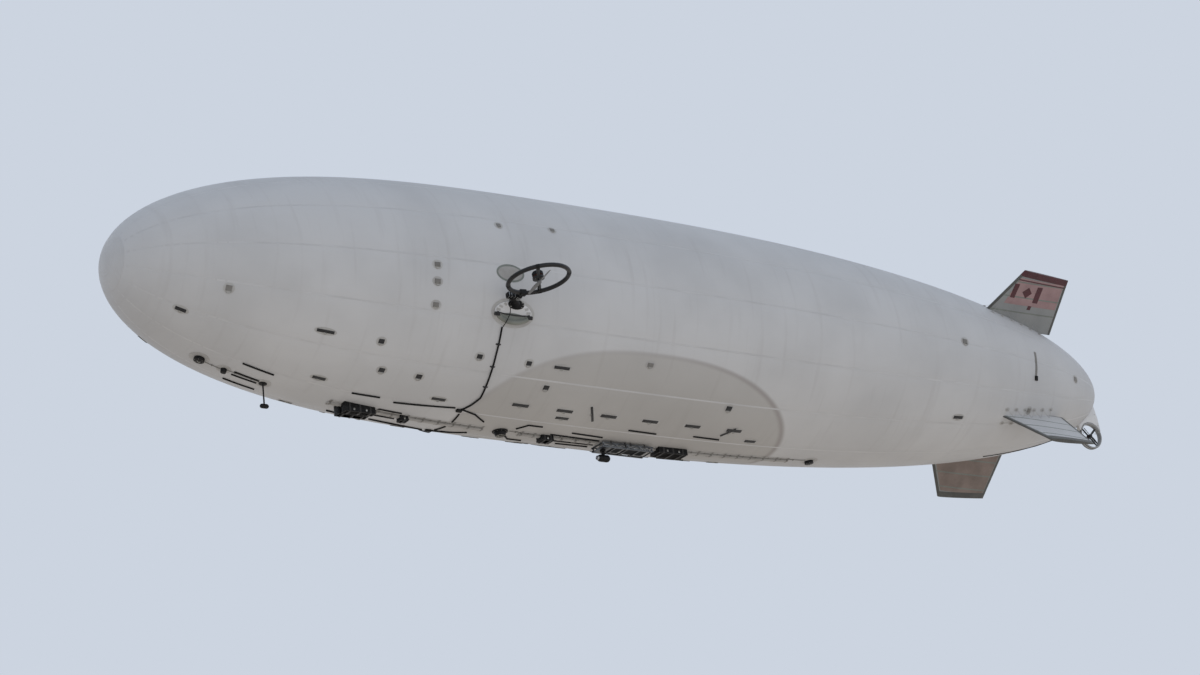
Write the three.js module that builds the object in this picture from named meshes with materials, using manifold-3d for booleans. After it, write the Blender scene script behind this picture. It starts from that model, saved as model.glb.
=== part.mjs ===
// Unmanned helium airship, in millimetres. +X is the nose, +Y is port, +Z is up, and the origin
// is on the envelope's axis, halfway between nose and tail.
import * as THREE from 'three';
import { mergeVertices } from 'three/addons/utils/BufferGeometryUtils.js';
import Module from 'manifold-3d';

const wasm = await Module();
wasm.setup();

// Envelope: radius = hullRadius * sqrt(1 - u^fullness), u counted from the widest station
const hullLength = 18000;
const hullRadius = 1812;
const widestX = 1110;
const noseFullness = 3.33;
const tailFullness = 2.32;
const skin = 10;
const hullSides = 40;
const hullSteps = 24;
const touchGap = 0.35;

// Tail fins, four in an X: stations along the hull and radii from its axis
const finAngles = { upper_port: 45, upper_starboard: 135, lower_port: -45, lower_starboard: -135 };
const finRootFront = -6020;
const finRootBack = -7670;
const finTipFront = -6680;
const finTipBack = -7620;
const finRootRadius = 1020;
const finTipRadius = 2050;
const finTipBackRadius = 1995;
const finThickness = 60;
const finEdge = 26;

// Stern thruster: a short duct athwart the tail, under a pylon
const sternX = -8915;
const sternZ = -660;
const ductInner = 200;
const ductOuter = 230;
const ductDepth = 92;
const pylonThickness = 84;

// Side thrusters: a tilting guard ring on an arm, one each side
const tiltX = 3465;
const tiltZ = -440;
const ringY = 2420;
const ringRadius = 440;
const ringTube = 32;
const ringCant = 5.6;
const restTilt = 5;
const sparTurn = 34;
const sparTube = 22;
const propellerRadius = 380;
const propellerDrop = 50;
const motorRadius = 80;
const motorHeight = 100;
const plateTop = 23;
const plateBottom = -8;
const clampWall = 12;
const hubGap = 6;
const housingStart = 1822;
const housingEnd = 1902;
const housingRadius = 48;
const shaftRadius = 15;
const shaftDepth = 34;
const shaftPlay = 1.5;
const padX = 3450;
const padAngle = -22;
const padLong = 305;
const padTall = 165;
const padThickness = 14;
const rollLong = 268;
const rollTall = 132;
const rollRadius = 32;
const footX = 3420;
const footAngle = -18;
const footLong = 130;
const footTall = 72;
const postRadius = 50;
const headAhead = 125;
const driveNose = 185;
const driveHalf = 36;
const cableRadius = 13;
const cableStops = [[3600, -28.8], [3590, -41], [3565, -52], [3530, -65.5], [3600, -71], [3690, -75.4]];

// Keel rails and what hangs under them
const railWidth = 60;
const railDepth = 30;
const railStops = { keel_rail_forward: [3060, 5620], keel_rail_aft: [-2480, 2440] };
const valveX = 2760;
const valveBore = 70;
const valveFlange = 118;
const valveCase = 88;
const frameStart = 170;
const frameEnd = 1050;
const frameHalfWidth = 150;
const frameTop = -1836;
const frameBottom = -1922;
const frameBays = 4;
const frameBar = 18;
const braceRadius = 5;
const cameraX = 970;
const cameraZ = -2050;
const cameraBody = 55;
const cameraLength = 220;

// Boxes hung from the keel: name, front, back, port side, starboard side, height
const hungBoxes = [
  { name: 'battery_port', front: 5420, back: 4920, port: 132, starboard: 12, height: 62 },
  { name: 'battery_starboard', front: 5450, back: 4960, port: -12, starboard: -132, height: 66 },
  { name: 'junction_box', front: 4470, back: 4340, port: 60, starboard: -60, height: 44 },
  { name: 'fan_controller', front: 2085, back: 1880, port: 80, starboard: -80, height: 52 },
  { name: 'main_battery', front: 25, back: -500, port: 118, starboard: -118, height: 52 },
];

// Finishes: colour, roughness, metalness
const finish = (color, roughness, metalness = 0) =>
  new THREE.MeshStandardMaterial({ color, roughness, metalness });
const white = finish(0xd9dadd, 0.5);
const finCloth = finish(0x9a9e9b, 0.6);
const black = finish(0x17181a, 0.5);
const grey = finish(0x8b8d8f, 0.6);
const carbon = finish(0x1c1d1f, 0.35);
const metal = finish(0x9fa2a6, 0.35, 0.9);

const airship = new THREE.Group();
const degrees = THREE.MathUtils.degToRad;

function put(name, shape, material, parent = airship) {
  const geometry = shape.isBufferGeometry ? shape : toGeometry(shape);
  const mesh = new THREE.Mesh(geometry, material);
  mesh.name = name;
  parent.add(mesh);
  return mesh;
}

// A closed geometry as a solid that can be joined and cut
function toSolid(geometry) {
  const bare = geometry.clone();
  bare.deleteAttribute('normal');
  bare.deleteAttribute('uv');
  const merged = mergeVertices(bare, 1e-3);
  return new wasm.Manifold(new wasm.Mesh({
    numProp: 3,
    vertProperties: new Float32Array(merged.attributes.position.array),
    triVerts: new Uint32Array(merged.index.array),
  }));
}

function toGeometry(solid) {
  const { vertProperties, triVerts } = solid.getMesh();
  const geometry = new THREE.BufferGeometry();
  geometry.setAttribute('position', new THREE.BufferAttribute(new Float32Array(vertProperties), 3));
  geometry.setIndex(new THREE.BufferAttribute(new Uint32Array(triVerts), 1));
  geometry.computeVertexNormals();
  return geometry;
}

const joined = (...geometries) => geometries.map(toSolid).reduce((a, b) => a.add(b));

function box(x0, x1, y0, y1, z0, z1) {
  const geometry = new THREE.BoxGeometry(Math.abs(x1 - x0), Math.abs(y1 - y0), Math.abs(z1 - z0));
  return geometry.translate((x0 + x1) / 2, (y0 + y1) / 2, (z0 + z1) / 2);
}

// A cylinder or cone between two points
function rod(from, to, radius, sides = 16, endRadius = radius) {
  const way = new THREE.Vector3().subVectors(to, from);
  const geometry = new THREE.CylinderGeometry(endRadius, radius, way.length(), sides);
  geometry.translate(0, way.length() / 2, 0);
  geometry.applyQuaternion(new THREE.Quaternion().setFromUnitVectors(
    new THREE.Vector3(0, 1, 0), way.normalize()));
  return geometry.translate(from.x, from.y, from.z);
}

const point = (x, y, z) => new THREE.Vector3(x, y, z);

function outline(points) {
  return new THREE.Shape(points.map(([x, y]) => new THREE.Vector2(x, y)));
}

// The hull's profile

function hullAt(x) {
  const half = hullLength / 2;
  const ahead = x > widestX;
  const u = Math.min(1, ahead ? (x - widestX) / (half - widestX) : (widestX - x) / (half + widestX));
  return hullRadius * Math.sqrt(Math.max(0, 1 - u ** (ahead ? noseFullness : tailFullness)));
}

// Slope of the surface, as the angle by which its outward normal leans towards the nose
function leanAt(x) {
  const step = 2;
  return Math.atan2(hullAt(x - step) - hullAt(x + step), 2 * step);
}

// The faceted hull, grown outwards by a distance
function hullSolid(grow) {
  const profile = [];
  for (let i = 0; i <= hullSteps; i += 1) {
    const x = -(hullLength / 2) * Math.cos((Math.PI * i) / hullSteps);
    const end = i === 0 || i === hullSteps;
    const lean = end ? Math.sign(x) * Math.PI / 2 : leanAt(x);
    const radius = end ? 0 : hullAt(x) + grow * Math.cos(lean);
    profile.push(new THREE.Vector2(radius, x + grow * Math.sin(lean)));
  }
  return toSolid(new THREE.LatheGeometry(profile, hullSides).rotateZ(-Math.PI / 2));
}

const hullCutter = hullSolid(touchGap);
const padSurface = hullSolid(padThickness);
const padCutter = hullSolid(padThickness + touchGap);

// A point on the hull at a station and an angle from port, and the outward direction there
function onHull(x, angle, out = 0) {
  const lean = leanAt(x);
  const turn = degrees(angle);
  const normal = point(Math.sin(lean), Math.cos(lean) * Math.cos(turn), Math.cos(lean) * Math.sin(turn));
  const place = point(x, hullAt(x) * Math.cos(turn), hullAt(x) * Math.sin(turn));
  return { place: place.addScaledVector(normal, out), normal };
}

// A round boss that stands square on the skin
function boss(x, angle, radius, rise, sides = 20, topRadius = radius) {
  const foot = onHull(x, angle, -40).place;
  const top = onHull(x, angle, rise).place;
  return toSolid(rod(foot, top, radius, sides, topRadius)).subtract(hullCutter);
}

// Envelope: a shell with one bore in the belly, under the ballonet fan
const bore = rod(point(valveX, 0, -hullRadius - 200), point(valveX, 0, -hullRadius + 400), valveBore, 20);
put('envelope', hullSolid(0).subtract(hullSolid(-skin)).subtract(toSolid(bore)), white);

// Tail fins
function fin(angle) {
  const shape = outline([
    [finRootFront, finRootRadius], [finRootBack, finRootRadius],
    [finTipBack, finTipBackRadius], [finTipFront, finTipRadius],
  ]);
  const geometry = new THREE.ExtrudeGeometry(shape, {
    depth: finThickness / 2, bevelEnabled: true, bevelThickness: finThickness / 4,
    bevelSize: finEdge, bevelOffset: -finEdge, bevelSegments: 2, steps: 1,
  });
  geometry.translate(0, 0, -finThickness / 4).rotateX(degrees(angle));
  return toSolid(geometry).subtract(hullCutter);
}

for (const [place, angle] of Object.entries(finAngles)) put(`fin_${place}`, fin(angle), finCloth);

// Stern thruster

function sternPylon() {
  const shape = outline([
    [-8600, -380], [-8700, -600], [-8760, -640], [-9090, -640], [-9142, -560],
    [-9118, -330], [-9056, -90], [-8985, 30], [-8800, -100],
  ]);
  const plate = new THREE.ExtrudeGeometry(shape, {
    depth: pylonThickness / 2, bevelEnabled: true, bevelThickness: pylonThickness / 4,
    bevelSize: 16, bevelOffset: -16, bevelSegments: 2, steps: 1,
  });
  plate.translate(0, 0, -pylonThickness / 4).rotateX(Math.PI / 2);
  const duct = rod(point(sternX, -200, sternZ), point(sternX, 200, sternZ), ductOuter + touchGap, 36);
  return toSolid(plate).subtract(hullCutter).subtract(toSolid(duct));
}

function sternDuct() {
  const half = ductDepth / 2;
  const lip = 8;
  const crest = (ductInner + ductOuter) / 2;
  const section = [
    [ductInner, -half + lip], [crest, -half], [ductOuter - lip, -half + lip], [ductOuter, 0],
    [ductOuter - lip, half - lip], [crest, half], [ductInner, half - lip], [ductInner, -half + lip],
  ];
  const points = section.map(([radius, along]) => new THREE.Vector2(radius, along));
  return new THREE.LatheGeometry(points, 36).translate(sternX, 0, sternZ);
}

// Motor can on four vanes, on the duct's starboard half
function sternStator() {
  const can = rod(point(0, -50, 0), point(0, -6, 0), 32, 16);
  const vanes = [45, 135, 225, 315].map((turn) =>
    box(24, ductInner - 3, -42, -12, -4, 4).rotateY(degrees(turn)));
  return joined(can, ...vanes);
}

// A blade lofted from a few sections: radius, chord, thickness, pitch in degrees
function blade(sections, hand = 1) {
  const ring = [[-0.5, 0], [-0.2, 0.5], [0.15, 0.42], [0.5, 0], [0.15, -0.32], [-0.2, -0.42]];
  const positions = [];
  for (const { radius, chord, thick, pitch } of sections) {
    const turn = degrees(pitch) * hand;
    for (const [along, up] of ring) {
      const a = along * chord * hand;
      const b = up * thick;
      const [cos, sin] = [Math.cos(turn), Math.sin(turn)];
      positions.push(radius, a * cos - b * sin, a * sin + b * cos);
    }
  }
  const index = [];
  const count = ring.length;
  const quad = (a, b, c, d) => (hand > 0 ? index.push(a, c, b, a, d, c) : index.push(a, b, c, a, c, d));
  for (let s = 0; s + 1 < sections.length; s += 1) {
    for (let i = 0; i < count; i += 1) {
      const next = (i + 1) % count;
      quad(s * count + i, s * count + next, (s + 1) * count + next, (s + 1) * count + i);
    }
  }
  const last = (sections.length - 1) * count;
  for (let i = 1; i + 1 < count; i += 1) {
    const first = hand > 0 ? [0, i, i + 1] : [0, i + 1, i];
    const end = hand > 0 ? [last, last + i + 1, last + i] : [last, last + i, last + i + 1];
    index.push(...first, ...end);
  }
  const geometry = new THREE.BufferGeometry();
  geometry.setAttribute('position', new THREE.Float32BufferAttribute(positions, 3));
  geometry.setIndex(index);
  return geometry;
}

// Propeller about +Z: a hub with its shaft and evenly spaced blades
function propeller(sections, blades, hubRadius, hubHeight, shaftEnd, hand = 1) {
  const hub = rod(point(0, 0, -hubHeight / 2), point(0, 0, hubHeight / 2), hubRadius, 16);
  let solid = joined(hub, rod(point(0, 0, 0), point(0, 0, shaftEnd), hubRadius * 0.3, 12));
  for (let i = 0; i < blades; i += 1) {
    solid = solid.add(toSolid(blade(sections, hand).rotateZ((i * 2 * Math.PI) / blades)));
  }
  return toGeometry(solid);
}

const sternBlade = [
  { radius: 12, chord: 26, thick: 9, pitch: 40 },
  { radius: 60, chord: 34, thick: 7, pitch: 32 },
  { radius: 120, chord: 32, thick: 5, pitch: 22 },
  { radius: 184, chord: 20, thick: 3, pitch: 15 },
];
const sideBlade = [
  { radius: 14, chord: 34, thick: 14, pitch: 34 },
  { radius: 90, chord: 62, thick: 12, pitch: 28 },
  { radius: 210, chord: 58, thick: 8, pitch: 19 },
  { radius: 330, chord: 44, thick: 6, pitch: 13 },
  { radius: propellerRadius, chord: 22, thick: 3, pitch: 10 },
];

put('stern_pylon', sternPylon(), white);
put('stern_duct', sternDuct(), grey);
const stern = new THREE.Group();
stern.position.set(sternX, 0, sternZ);
airship.add(stern);
put('stern_stator', sternStator(), black, stern);
const sternPropeller = propeller(sternBlade, 4, 26, 34, -23).rotateZ(Math.PI / 4).rotateX(-Math.PI / 2);
put('stern_propeller', sternPropeller.translate(0, 18, 0), carbon, stern);

// Side thrusters; side is 1 for port and -1 for starboard

// Round section with its middle on the origin, for tubes along a path
function roundSection(radius, sides) {
  const corners = [];
  for (let i = 0; i < sides; i += 1) {
    const turn = (i * 2 * Math.PI) / sides;
    corners.push([radius * Math.cos(turn), radius * Math.sin(turn)]);
  }
  return outline(corners);
}

const alongPath = (points, radius, sides, steps) => new THREE.ExtrudeGeometry(roundSection(radius, sides), {
  extrudePath: new THREE.CatmullRomCurve3(points), steps, bevelEnabled: false,
});

const fromPort = (side, angle) => (side > 0 ? angle : 180 - angle);

// An oval slab square on the skin, its length along X, between two heights off the skin
function ovalSlab(x, angle, long, tall, from, to) {
  const corners = [];
  for (let i = 0; i < 36; i += 1) {
    const turn = degrees(i * 10);
    corners.push([long * Math.cos(turn), tall * Math.sin(turn)]);
  }
  const { place, normal } = onHull(x, angle, from);
  const lean = leanAt(x);
  const turn = degrees(angle);
  const forward = point(Math.cos(lean), -Math.sin(lean) * Math.cos(turn), -Math.sin(lean) * Math.sin(turn));
  const across = new THREE.Vector3().crossVectors(normal, forward);
  const slab = new THREE.ExtrudeGeometry(outline(corners), { depth: to - from, bevelEnabled: false });
  return slab.applyMatrix4(new THREE.Matrix4().makeBasis(forward, across, normal).setPosition(place));
}

// Padded roll round the pad's lower half
function padRoll(side) {
  const points = [];
  const steps = 16;
  for (let i = 0; i <= steps; i += 1) {
    const turn = degrees(188 + (164 * i) / steps);
    const drop = THREE.MathUtils.radToDeg((rollTall * Math.sin(turn)) / hullAt(padX));
    const x = padX + rollLong * Math.cos(turn);
    points.push(onHull(x, fromPort(side, padAngle + drop), padThickness + 6).place);
  }
  return alongPath(points, rollRadius, 10, steps);
}

function thrusterPad(side) {
  const core = ovalSlab(padX, fromPort(side, padAngle), padLong, padTall, -80, 80);
  const plate = toSolid(core).intersect(padSurface);
  return plate.add(toSolid(padRoll(side))).subtract(hullCutter);
}

// A point on the canted tilt axis, at a distance athwart counted as if it were level
function onAxis(side, athwart) {
  const inboard = athwart - ringY;
  const cant = degrees(ringCant);
  return point(tiltX, side * (ringY + inboard * Math.cos(cant)), tiltZ + inboard * Math.sin(cant));
}

const housingRod = (side, extra) => rod(
  onAxis(side, housingStart - extra), onAxis(side, housingEnd + extra), housingRadius + extra, 20);

// Tilt drive: a drum on the tilt axis with its motor reaching forward
function driveShape(side, extra) {
  const [near, far] = [housingStart, housingEnd].map((athwart) => side * (athwart - ringY));
  const nose = box(0, driveNose + extra, Math.min(near, far) - extra, Math.max(near, far) + extra,
    -driveHalf - extra, driveHalf + extra);
  nose.rotateX(side * degrees(ringCant)).translate(tiltX, side * ringY, tiltZ);
  return joined(housingRod(side, extra), nose);
}

// The drive, bored for its output shaft
function tiltHousing(side) {
  const bore = rod(onAxis(side, housingEnd - shaftDepth - 4), onAxis(side, housingEnd + 10),
    shaftRadius + shaftPlay, 16);
  return driveShape(side, 0).subtract(toSolid(bore));
}

// Oval foot plate, flared collar and a post that leans forward to the tilt drive's motor
function thrusterArm(side) {
  const angle = fromPort(side, footAngle);
  const at = (out) => onHull(footX, angle, out).place;
  const head = onAxis(side, (housingStart + housingEnd) / 2).add(point(headAhead, 0, 0));
  const plate = ovalSlab(footX, angle, footLong, footTall, -30, padThickness + 16);
  const collar = rod(at(padThickness + 10), at(padThickness + 50), footTall - 6, 20, postRadius);
  const post = rod(at(padThickness + 20), head, postRadius, 16, driveHalf - 4);
  return joined(plate, collar, post).subtract(padCutter).subtract(driveShape(side, touchGap));
}

// Output disc of the tilt drive with the clamp that grips the guard ring, in the ring's own frame
function tiltHub(side) {
  const inner = side * (housingEnd + hubGap - ringY);
  const grip = side * -ringRadius;
  const reach = ringTube + clampWall;
  const cheek = ringTube + clampWall / 2;
  const disc = rod(point(0, inner, 0), point(0, grip - side * (reach - 2), 0), 40, 20);
  const clamp = box(-52, 52, grip - side * reach, grip + side * cheek, -cheek, cheek);
  const shaft = rod(point(0, inner, 0), point(0, inner - side * (shaftDepth + hubGap), 0), shaftRadius, 16);
  return joined(disc, clamp, shaft).subtract(toSolid(guardRing(ringTube + touchGap)));
}

const guardRing = (tube) => new THREE.TorusGeometry(ringRadius, tube, 10, 40);

// Spar across the ring with the motor's plate at its middle
function motorSpar(side) {
  const reach = ringRadius - 2;
  const spar = rod(point(0, -reach, 0), point(0, reach, 0), sparTube, 12).rotateZ(-side * degrees(sparTurn));
  const plate = rod(point(0, 0, plateBottom), point(0, 0, plateTop), motorRadius + 6, 24);
  return joined(spar, plate).subtract(toSolid(guardRing(ringTube + touchGap)));
}

function motor() {
  const base = plateTop + 0.4;
  const profile = [
    [0, base], [motorRadius, base], [motorRadius, base + motorHeight * 0.7],
    [motorRadius * 0.86, base + motorHeight * 0.9], [motorRadius * 0.4, base + motorHeight],
    [0, base + motorHeight],
  ];
  const points = profile.map(([radius, along]) => new THREE.Vector2(radius, along));
  return new THREE.LatheGeometry(points, 24).rotateX(Math.PI / 2);
}

// Power cable, taped to the skin from below the pad down to its junction on the belly
function powerCable(side) {
  const points = [];
  const parts = 6;
  for (let i = 0; i + 1 < cableStops.length; i += 1) {
    const [[x0, angle0], [x1, angle1]] = [cableStops[i], cableStops[i + 1]];
    for (let k = 0; k < parts; k += 1) {
      const share = k / parts;
      const angle = fromPort(side, angle0 + (angle1 - angle0) * share);
      points.push(onHull(x0 + (x1 - x0) * share, angle, touchGap + cableRadius).place);
    }
  }
  const [x, angle] = cableStops[cableStops.length - 1];
  points.push(onHull(x, fromPort(side, angle), touchGap + cableRadius).place);
  return alongPath(points, cableRadius, 8, points.length - 1);
}

for (const [place, side] of [['port', 1], ['starboard', -1]]) {
  put(`${place}_thruster_pad`, thrusterPad(side), white);
  put(`${place}_thruster_arm`, thrusterArm(side), black);
  put(`${place}_tilt_housing`, tiltHousing(side), black);
  put(`${place}_power_cable`, powerCable(side), black);
  const tilting = new THREE.Group();
  tilting.position.set(tiltX, side * ringY, tiltZ);
  tilting.rotation.set(side * degrees(ringCant), degrees(restTilt), 0);
  airship.add(tilting);
  put(`${place}_tilt_hub`, tiltHub(side), black, tilting);
  put(`${place}_guard_ring`, guardRing(ringTube), carbon, tilting);
  put(`${place}_motor_spar`, motorSpar(side), carbon, tilting);
  put(`${place}_motor`, motor(), black, tilting);
  const shaftEnd = propellerDrop - sparTube - 2;
  const blades = propeller(sideBlade, 2, 30, 34, shaftEnd, side).rotateZ(degrees(90 - side * 8));
  put(`${place}_propeller`, blades.translate(0, 0, -propellerDrop), grey, tilting);
}

// Keel

// A strip that follows the belly between two stations, from inside the hull down to a depth below it
function bellyStrip(from, to, halfWidth, depth) {
  const steps = 14;
  const lower = [];
  const upper = [];
  for (let i = 0; i <= steps; i += 1) {
    const x = from + ((to - from) * i) / steps;
    lower.push([x, -hullAt(x) - depth]);
    upper.unshift([x, -hullAt(x) + 60]);
  }
  const geometry = new THREE.ExtrudeGeometry(outline([...lower, ...upper]), {
    depth: 2 * halfWidth, bevelEnabled: false, steps: 1,
  });
  return toSolid(geometry.rotateX(Math.PI / 2).translate(0, halfWidth, 0));
}

const keelRails = Object.entries(railStops);
for (const [name, [from, to]] of keelRails) {
  put(name, bellyStrip(from, to, railWidth / 2, railDepth).subtract(hullCutter), grey);
}

// Cut to sit on the belly, with a slot for the rail
const underKeel = (solid) => keelRails.reduce((left, [, [from, to]]) => left.subtract(
  bellyStrip(from - touchGap, to + touchGap, railWidth / 2 + touchGap, railDepth + touchGap)),
solid.subtract(hullCutter));

function hungBox({ front, back, port, starboard, height }) {
  const deepest = Math.max(hullAt(front), hullAt(back)) + railDepth;
  return underKeel(toSolid(box(front, back, port, starboard, -deepest - height, -deepest + 80)));
}

for (const entry of hungBoxes) put(entry.name, hungBox(entry), black);

// Ballonet fan and valve under the bore in the envelope
const fan = boss(valveX, -90, valveFlange, 18, 28).add(boss(valveX, -90, valveCase, 76, 24, valveCase - 10));
put('ballonet_fan', fan, black);

// Payload frame: two long rails above, two below, joined by posts and cross bars
function payloadFrame() {
  const bars = [];
  const half = frameHalfWidth;
  const bay = (frameEnd - frameStart - frameBar) / frameBays;
  const posts = Array.from({ length: frameBays + 1 }, (_, i) => frameStart + i * bay);
  for (const y of [half - frameBar, -half]) {
    for (const z of [frameBottom, frameTop - frameBar]) {
      bars.push(box(frameStart, frameEnd, y, y + frameBar, z, z + frameBar));
    }
    for (const x of posts) bars.push(box(x, x + frameBar, y, y + frameBar, frameBottom, frameTop));
  }
  for (const x of posts) {
    for (const z of [frameBottom, frameTop - frameBar]) {
      bars.push(box(x, x + frameBar, -half, half, z, z + frameBar));
    }
  }
  const middle = frameBar / 2;
  for (const y of [half - middle, middle - half]) {
    for (let i = 0; i + 1 < posts.length; i += 1) {
      const [low, high] = i % 2 ? [posts[i + 1], posts[i]] : [posts[i], posts[i + 1]];
      bars.push(rod(point(low + middle, y, frameBottom + middle), point(high + middle, y, frameTop - middle),
        braceRadius, 8));
    }
  }
  bars.push(box(cameraX - 78, cameraX + 78, -half, half, frameBottom, frameBottom + frameBar));
  return underKeel(joined(...bars));
}

put('payload_frame', payloadFrame(), metal);
const trayTop = frameBottom + frameBar + 0.4;
const trayDepth = 46;
put('payload_box_forward', box(640, 1010, -118, 118, trayTop, trayTop + trayDepth), grey);
put('payload_box_aft', box(210, 590, -118, 118, trayTop, trayTop + trayDepth), grey);

// Camera: a fixed base and a long pod that pans under it
const baseBottom = frameBottom - 26;
const cameraBase = rod(point(cameraX, 0, frameBottom - 0.4), point(cameraX, 0, baseBottom), 44, 24);
put('camera_base', cameraBase, black);
function cameraHead() {
  const straight = cameraLength - 2 * cameraBody;
  const pod = new THREE.CapsuleGeometry(cameraBody, straight, 6, 18).rotateZ(Math.PI / 2);
  pod.translate(0, 0, cameraZ);
  const neck = rod(point(0, 0, baseBottom - 6), point(0, 0, cameraZ), 26, 20);
  const pivot = rod(point(0, 0, baseBottom - 0.6), point(0, 0, cameraZ), 16, 16);
  const front = cameraLength / 2;
  const lens = rod(point(front - 30, 0, cameraZ), point(front + 10, 0, cameraZ), 34, 16);
  return joined(pod, neck, pivot, lens);
}
const head = new THREE.Group();
head.position.set(cameraX, 0, 0);
airship.add(head);
put('camera_head', cameraHead(), black, head);

// Line blocks fore and aft, a nose sensor and the hanging forward aerial
put('bow_line_block', boss(7610, -90, 78, 46), black);
put('aft_line_block', boss(-2900, -90, 70, 46), black);
put('nose_sensor', boss(7240, -90, 52, 60, 16, 40), black);

function forwardAerial() {
  const x = 6640;
  const root = boss(x, -90, 60, 14);
  const mast = rod(point(x, 0, -hullAt(x) - 4), point(x, 0, -1850), 11, 12);
  const pod = new THREE.CapsuleGeometry(34, 70, 4, 12).rotateZ(Math.PI / 2).translate(x, 0, -1850);
  return root.add(joined(mast, pod).subtract(hullCutter));
}
put('forward_aerial', forwardAerial(), black);

export default airship;
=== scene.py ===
"""Looks of an unmanned helium airship: gas cloth, fins, thrusters, keel kit and a plain studio.

Every length is in metres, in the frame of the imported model: +X is the nose, +Y is port, +Z is up,
and the origin is on the envelope's axis, halfway between nose and tail.
"""
import logging
from collections.abc import Callable, Iterable, Sequence
from dataclasses import dataclass, field
from enum import Enum
from math import atan2, cos, degrees, pi, radians, sin, sqrt, tau

import bpy
from mathutils import Matrix, Vector


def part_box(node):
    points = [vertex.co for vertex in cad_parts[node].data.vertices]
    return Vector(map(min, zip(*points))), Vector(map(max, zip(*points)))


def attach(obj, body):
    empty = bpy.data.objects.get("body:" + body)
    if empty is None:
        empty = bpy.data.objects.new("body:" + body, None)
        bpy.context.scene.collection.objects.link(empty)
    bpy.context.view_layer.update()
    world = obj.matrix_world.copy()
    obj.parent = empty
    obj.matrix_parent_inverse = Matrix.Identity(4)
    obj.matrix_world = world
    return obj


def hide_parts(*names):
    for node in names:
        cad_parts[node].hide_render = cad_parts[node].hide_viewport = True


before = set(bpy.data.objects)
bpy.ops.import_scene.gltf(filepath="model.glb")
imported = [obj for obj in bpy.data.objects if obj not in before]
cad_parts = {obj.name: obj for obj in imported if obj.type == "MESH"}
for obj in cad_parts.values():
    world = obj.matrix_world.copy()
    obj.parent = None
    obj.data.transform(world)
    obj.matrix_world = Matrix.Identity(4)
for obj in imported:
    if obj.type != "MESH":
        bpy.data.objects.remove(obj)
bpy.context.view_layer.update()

LOG = logging.getLogger("airship")
# A wave texture's scale that gives one band a metre
WAVE_SCALE = 0.314
# The turn that lays a lathed piece along X
ALONG_X = Matrix.Rotation(pi / 2, 4, "Y")

Point = Sequence[float]
Profile = Sequence[tuple[float, float]]
Piece = bpy.types.Object
Node = bpy.types.Node
Tree = bpy.types.NodeTree
Socket = bpy.types.NodeSocket


class Side(Enum):
    """Which side of the hull a piece stands on; the value is the sign of Y."""

    PORT = 1
    STARBOARD = -1

    @property
    def label(self) -> str:
        """The side's word in the names of nodes and bodies."""
        return self.name.lower()


# Colours and nodes


def linear(colour: str) -> tuple[float, float, float, float]:
    """Turn an sRGB hex colour to linear RGBA.

    Args:
        colour: six hex digits, with or without a leading hash.

    Returns:
        Red, green, blue and a full alpha, linear.
    """
    digits = colour.lstrip("#")
    channels = (int(digits[i:i + 2], 16) / 255 for i in (0, 2, 4))
    return (*(c / 12.92 if c <= 0.04045 else ((c + 0.055) / 1.055) ** 2.4 for c in channels), 1.0)


def add_node(tree: Tree, kind: str, inputs: dict | None = None, **settings) -> Node:
    """Add a shader node with its settings, values and links.

    Args:
        tree: the node tree that takes the node.
        kind: the node's type name, without the leading "ShaderNode".
        inputs: for each input's name or number, a value or the socket that feeds it.
        **settings: the node's own properties.

    Returns:
        The new node.
    """
    node = tree.nodes.new(f"ShaderNode{kind}")
    for name, value in settings.items():
        setattr(node, name, value)
    for key, value in (inputs or {}).items():
        if isinstance(value, Socket):
            tree.links.new(value, node.inputs[key])
        else:
            node.inputs[key].default_value = value
    return node


def compute(tree: Tree, operation: str, *values: Socket | float) -> Socket:
    """Give the result of one operation on sockets or plain numbers."""
    return add_node(tree, "Math", dict(enumerate(values)), operation=operation).outputs[0]


def noise(tree: Tree, place: Socket, scale: float, detail: float) -> Socket:
    """Give a soft random pattern, 0 to 1."""
    return add_node(tree, "TexNoise", {"Vector": place, "Scale": scale, "Detail": detail}).outputs[0]


def remap(tree: Tree, value: Socket, source: Point, target: Point = (0.0, 1.0), **settings) -> Socket:
    """Carry a value over from one range to another, held at both ends."""
    inputs = {0: value, 1: source[0], 2: source[1], 3: target[0], 4: target[1]}
    return add_node(tree, "MapRange", inputs, **settings).outputs[0]


def blend(tree: Tree, share: Socket, first: Socket | str, second: Socket | str) -> Socket:
    """Mix two colours, each a socket or hex digits, by a share from 0 to 1."""
    colours = [linear(tone) if isinstance(tone, str) else tone for tone in (first, second)]
    return add_node(tree, "MixRGB", {0: share, 1: colours[0], 2: colours[1]}).outputs[0]


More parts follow.
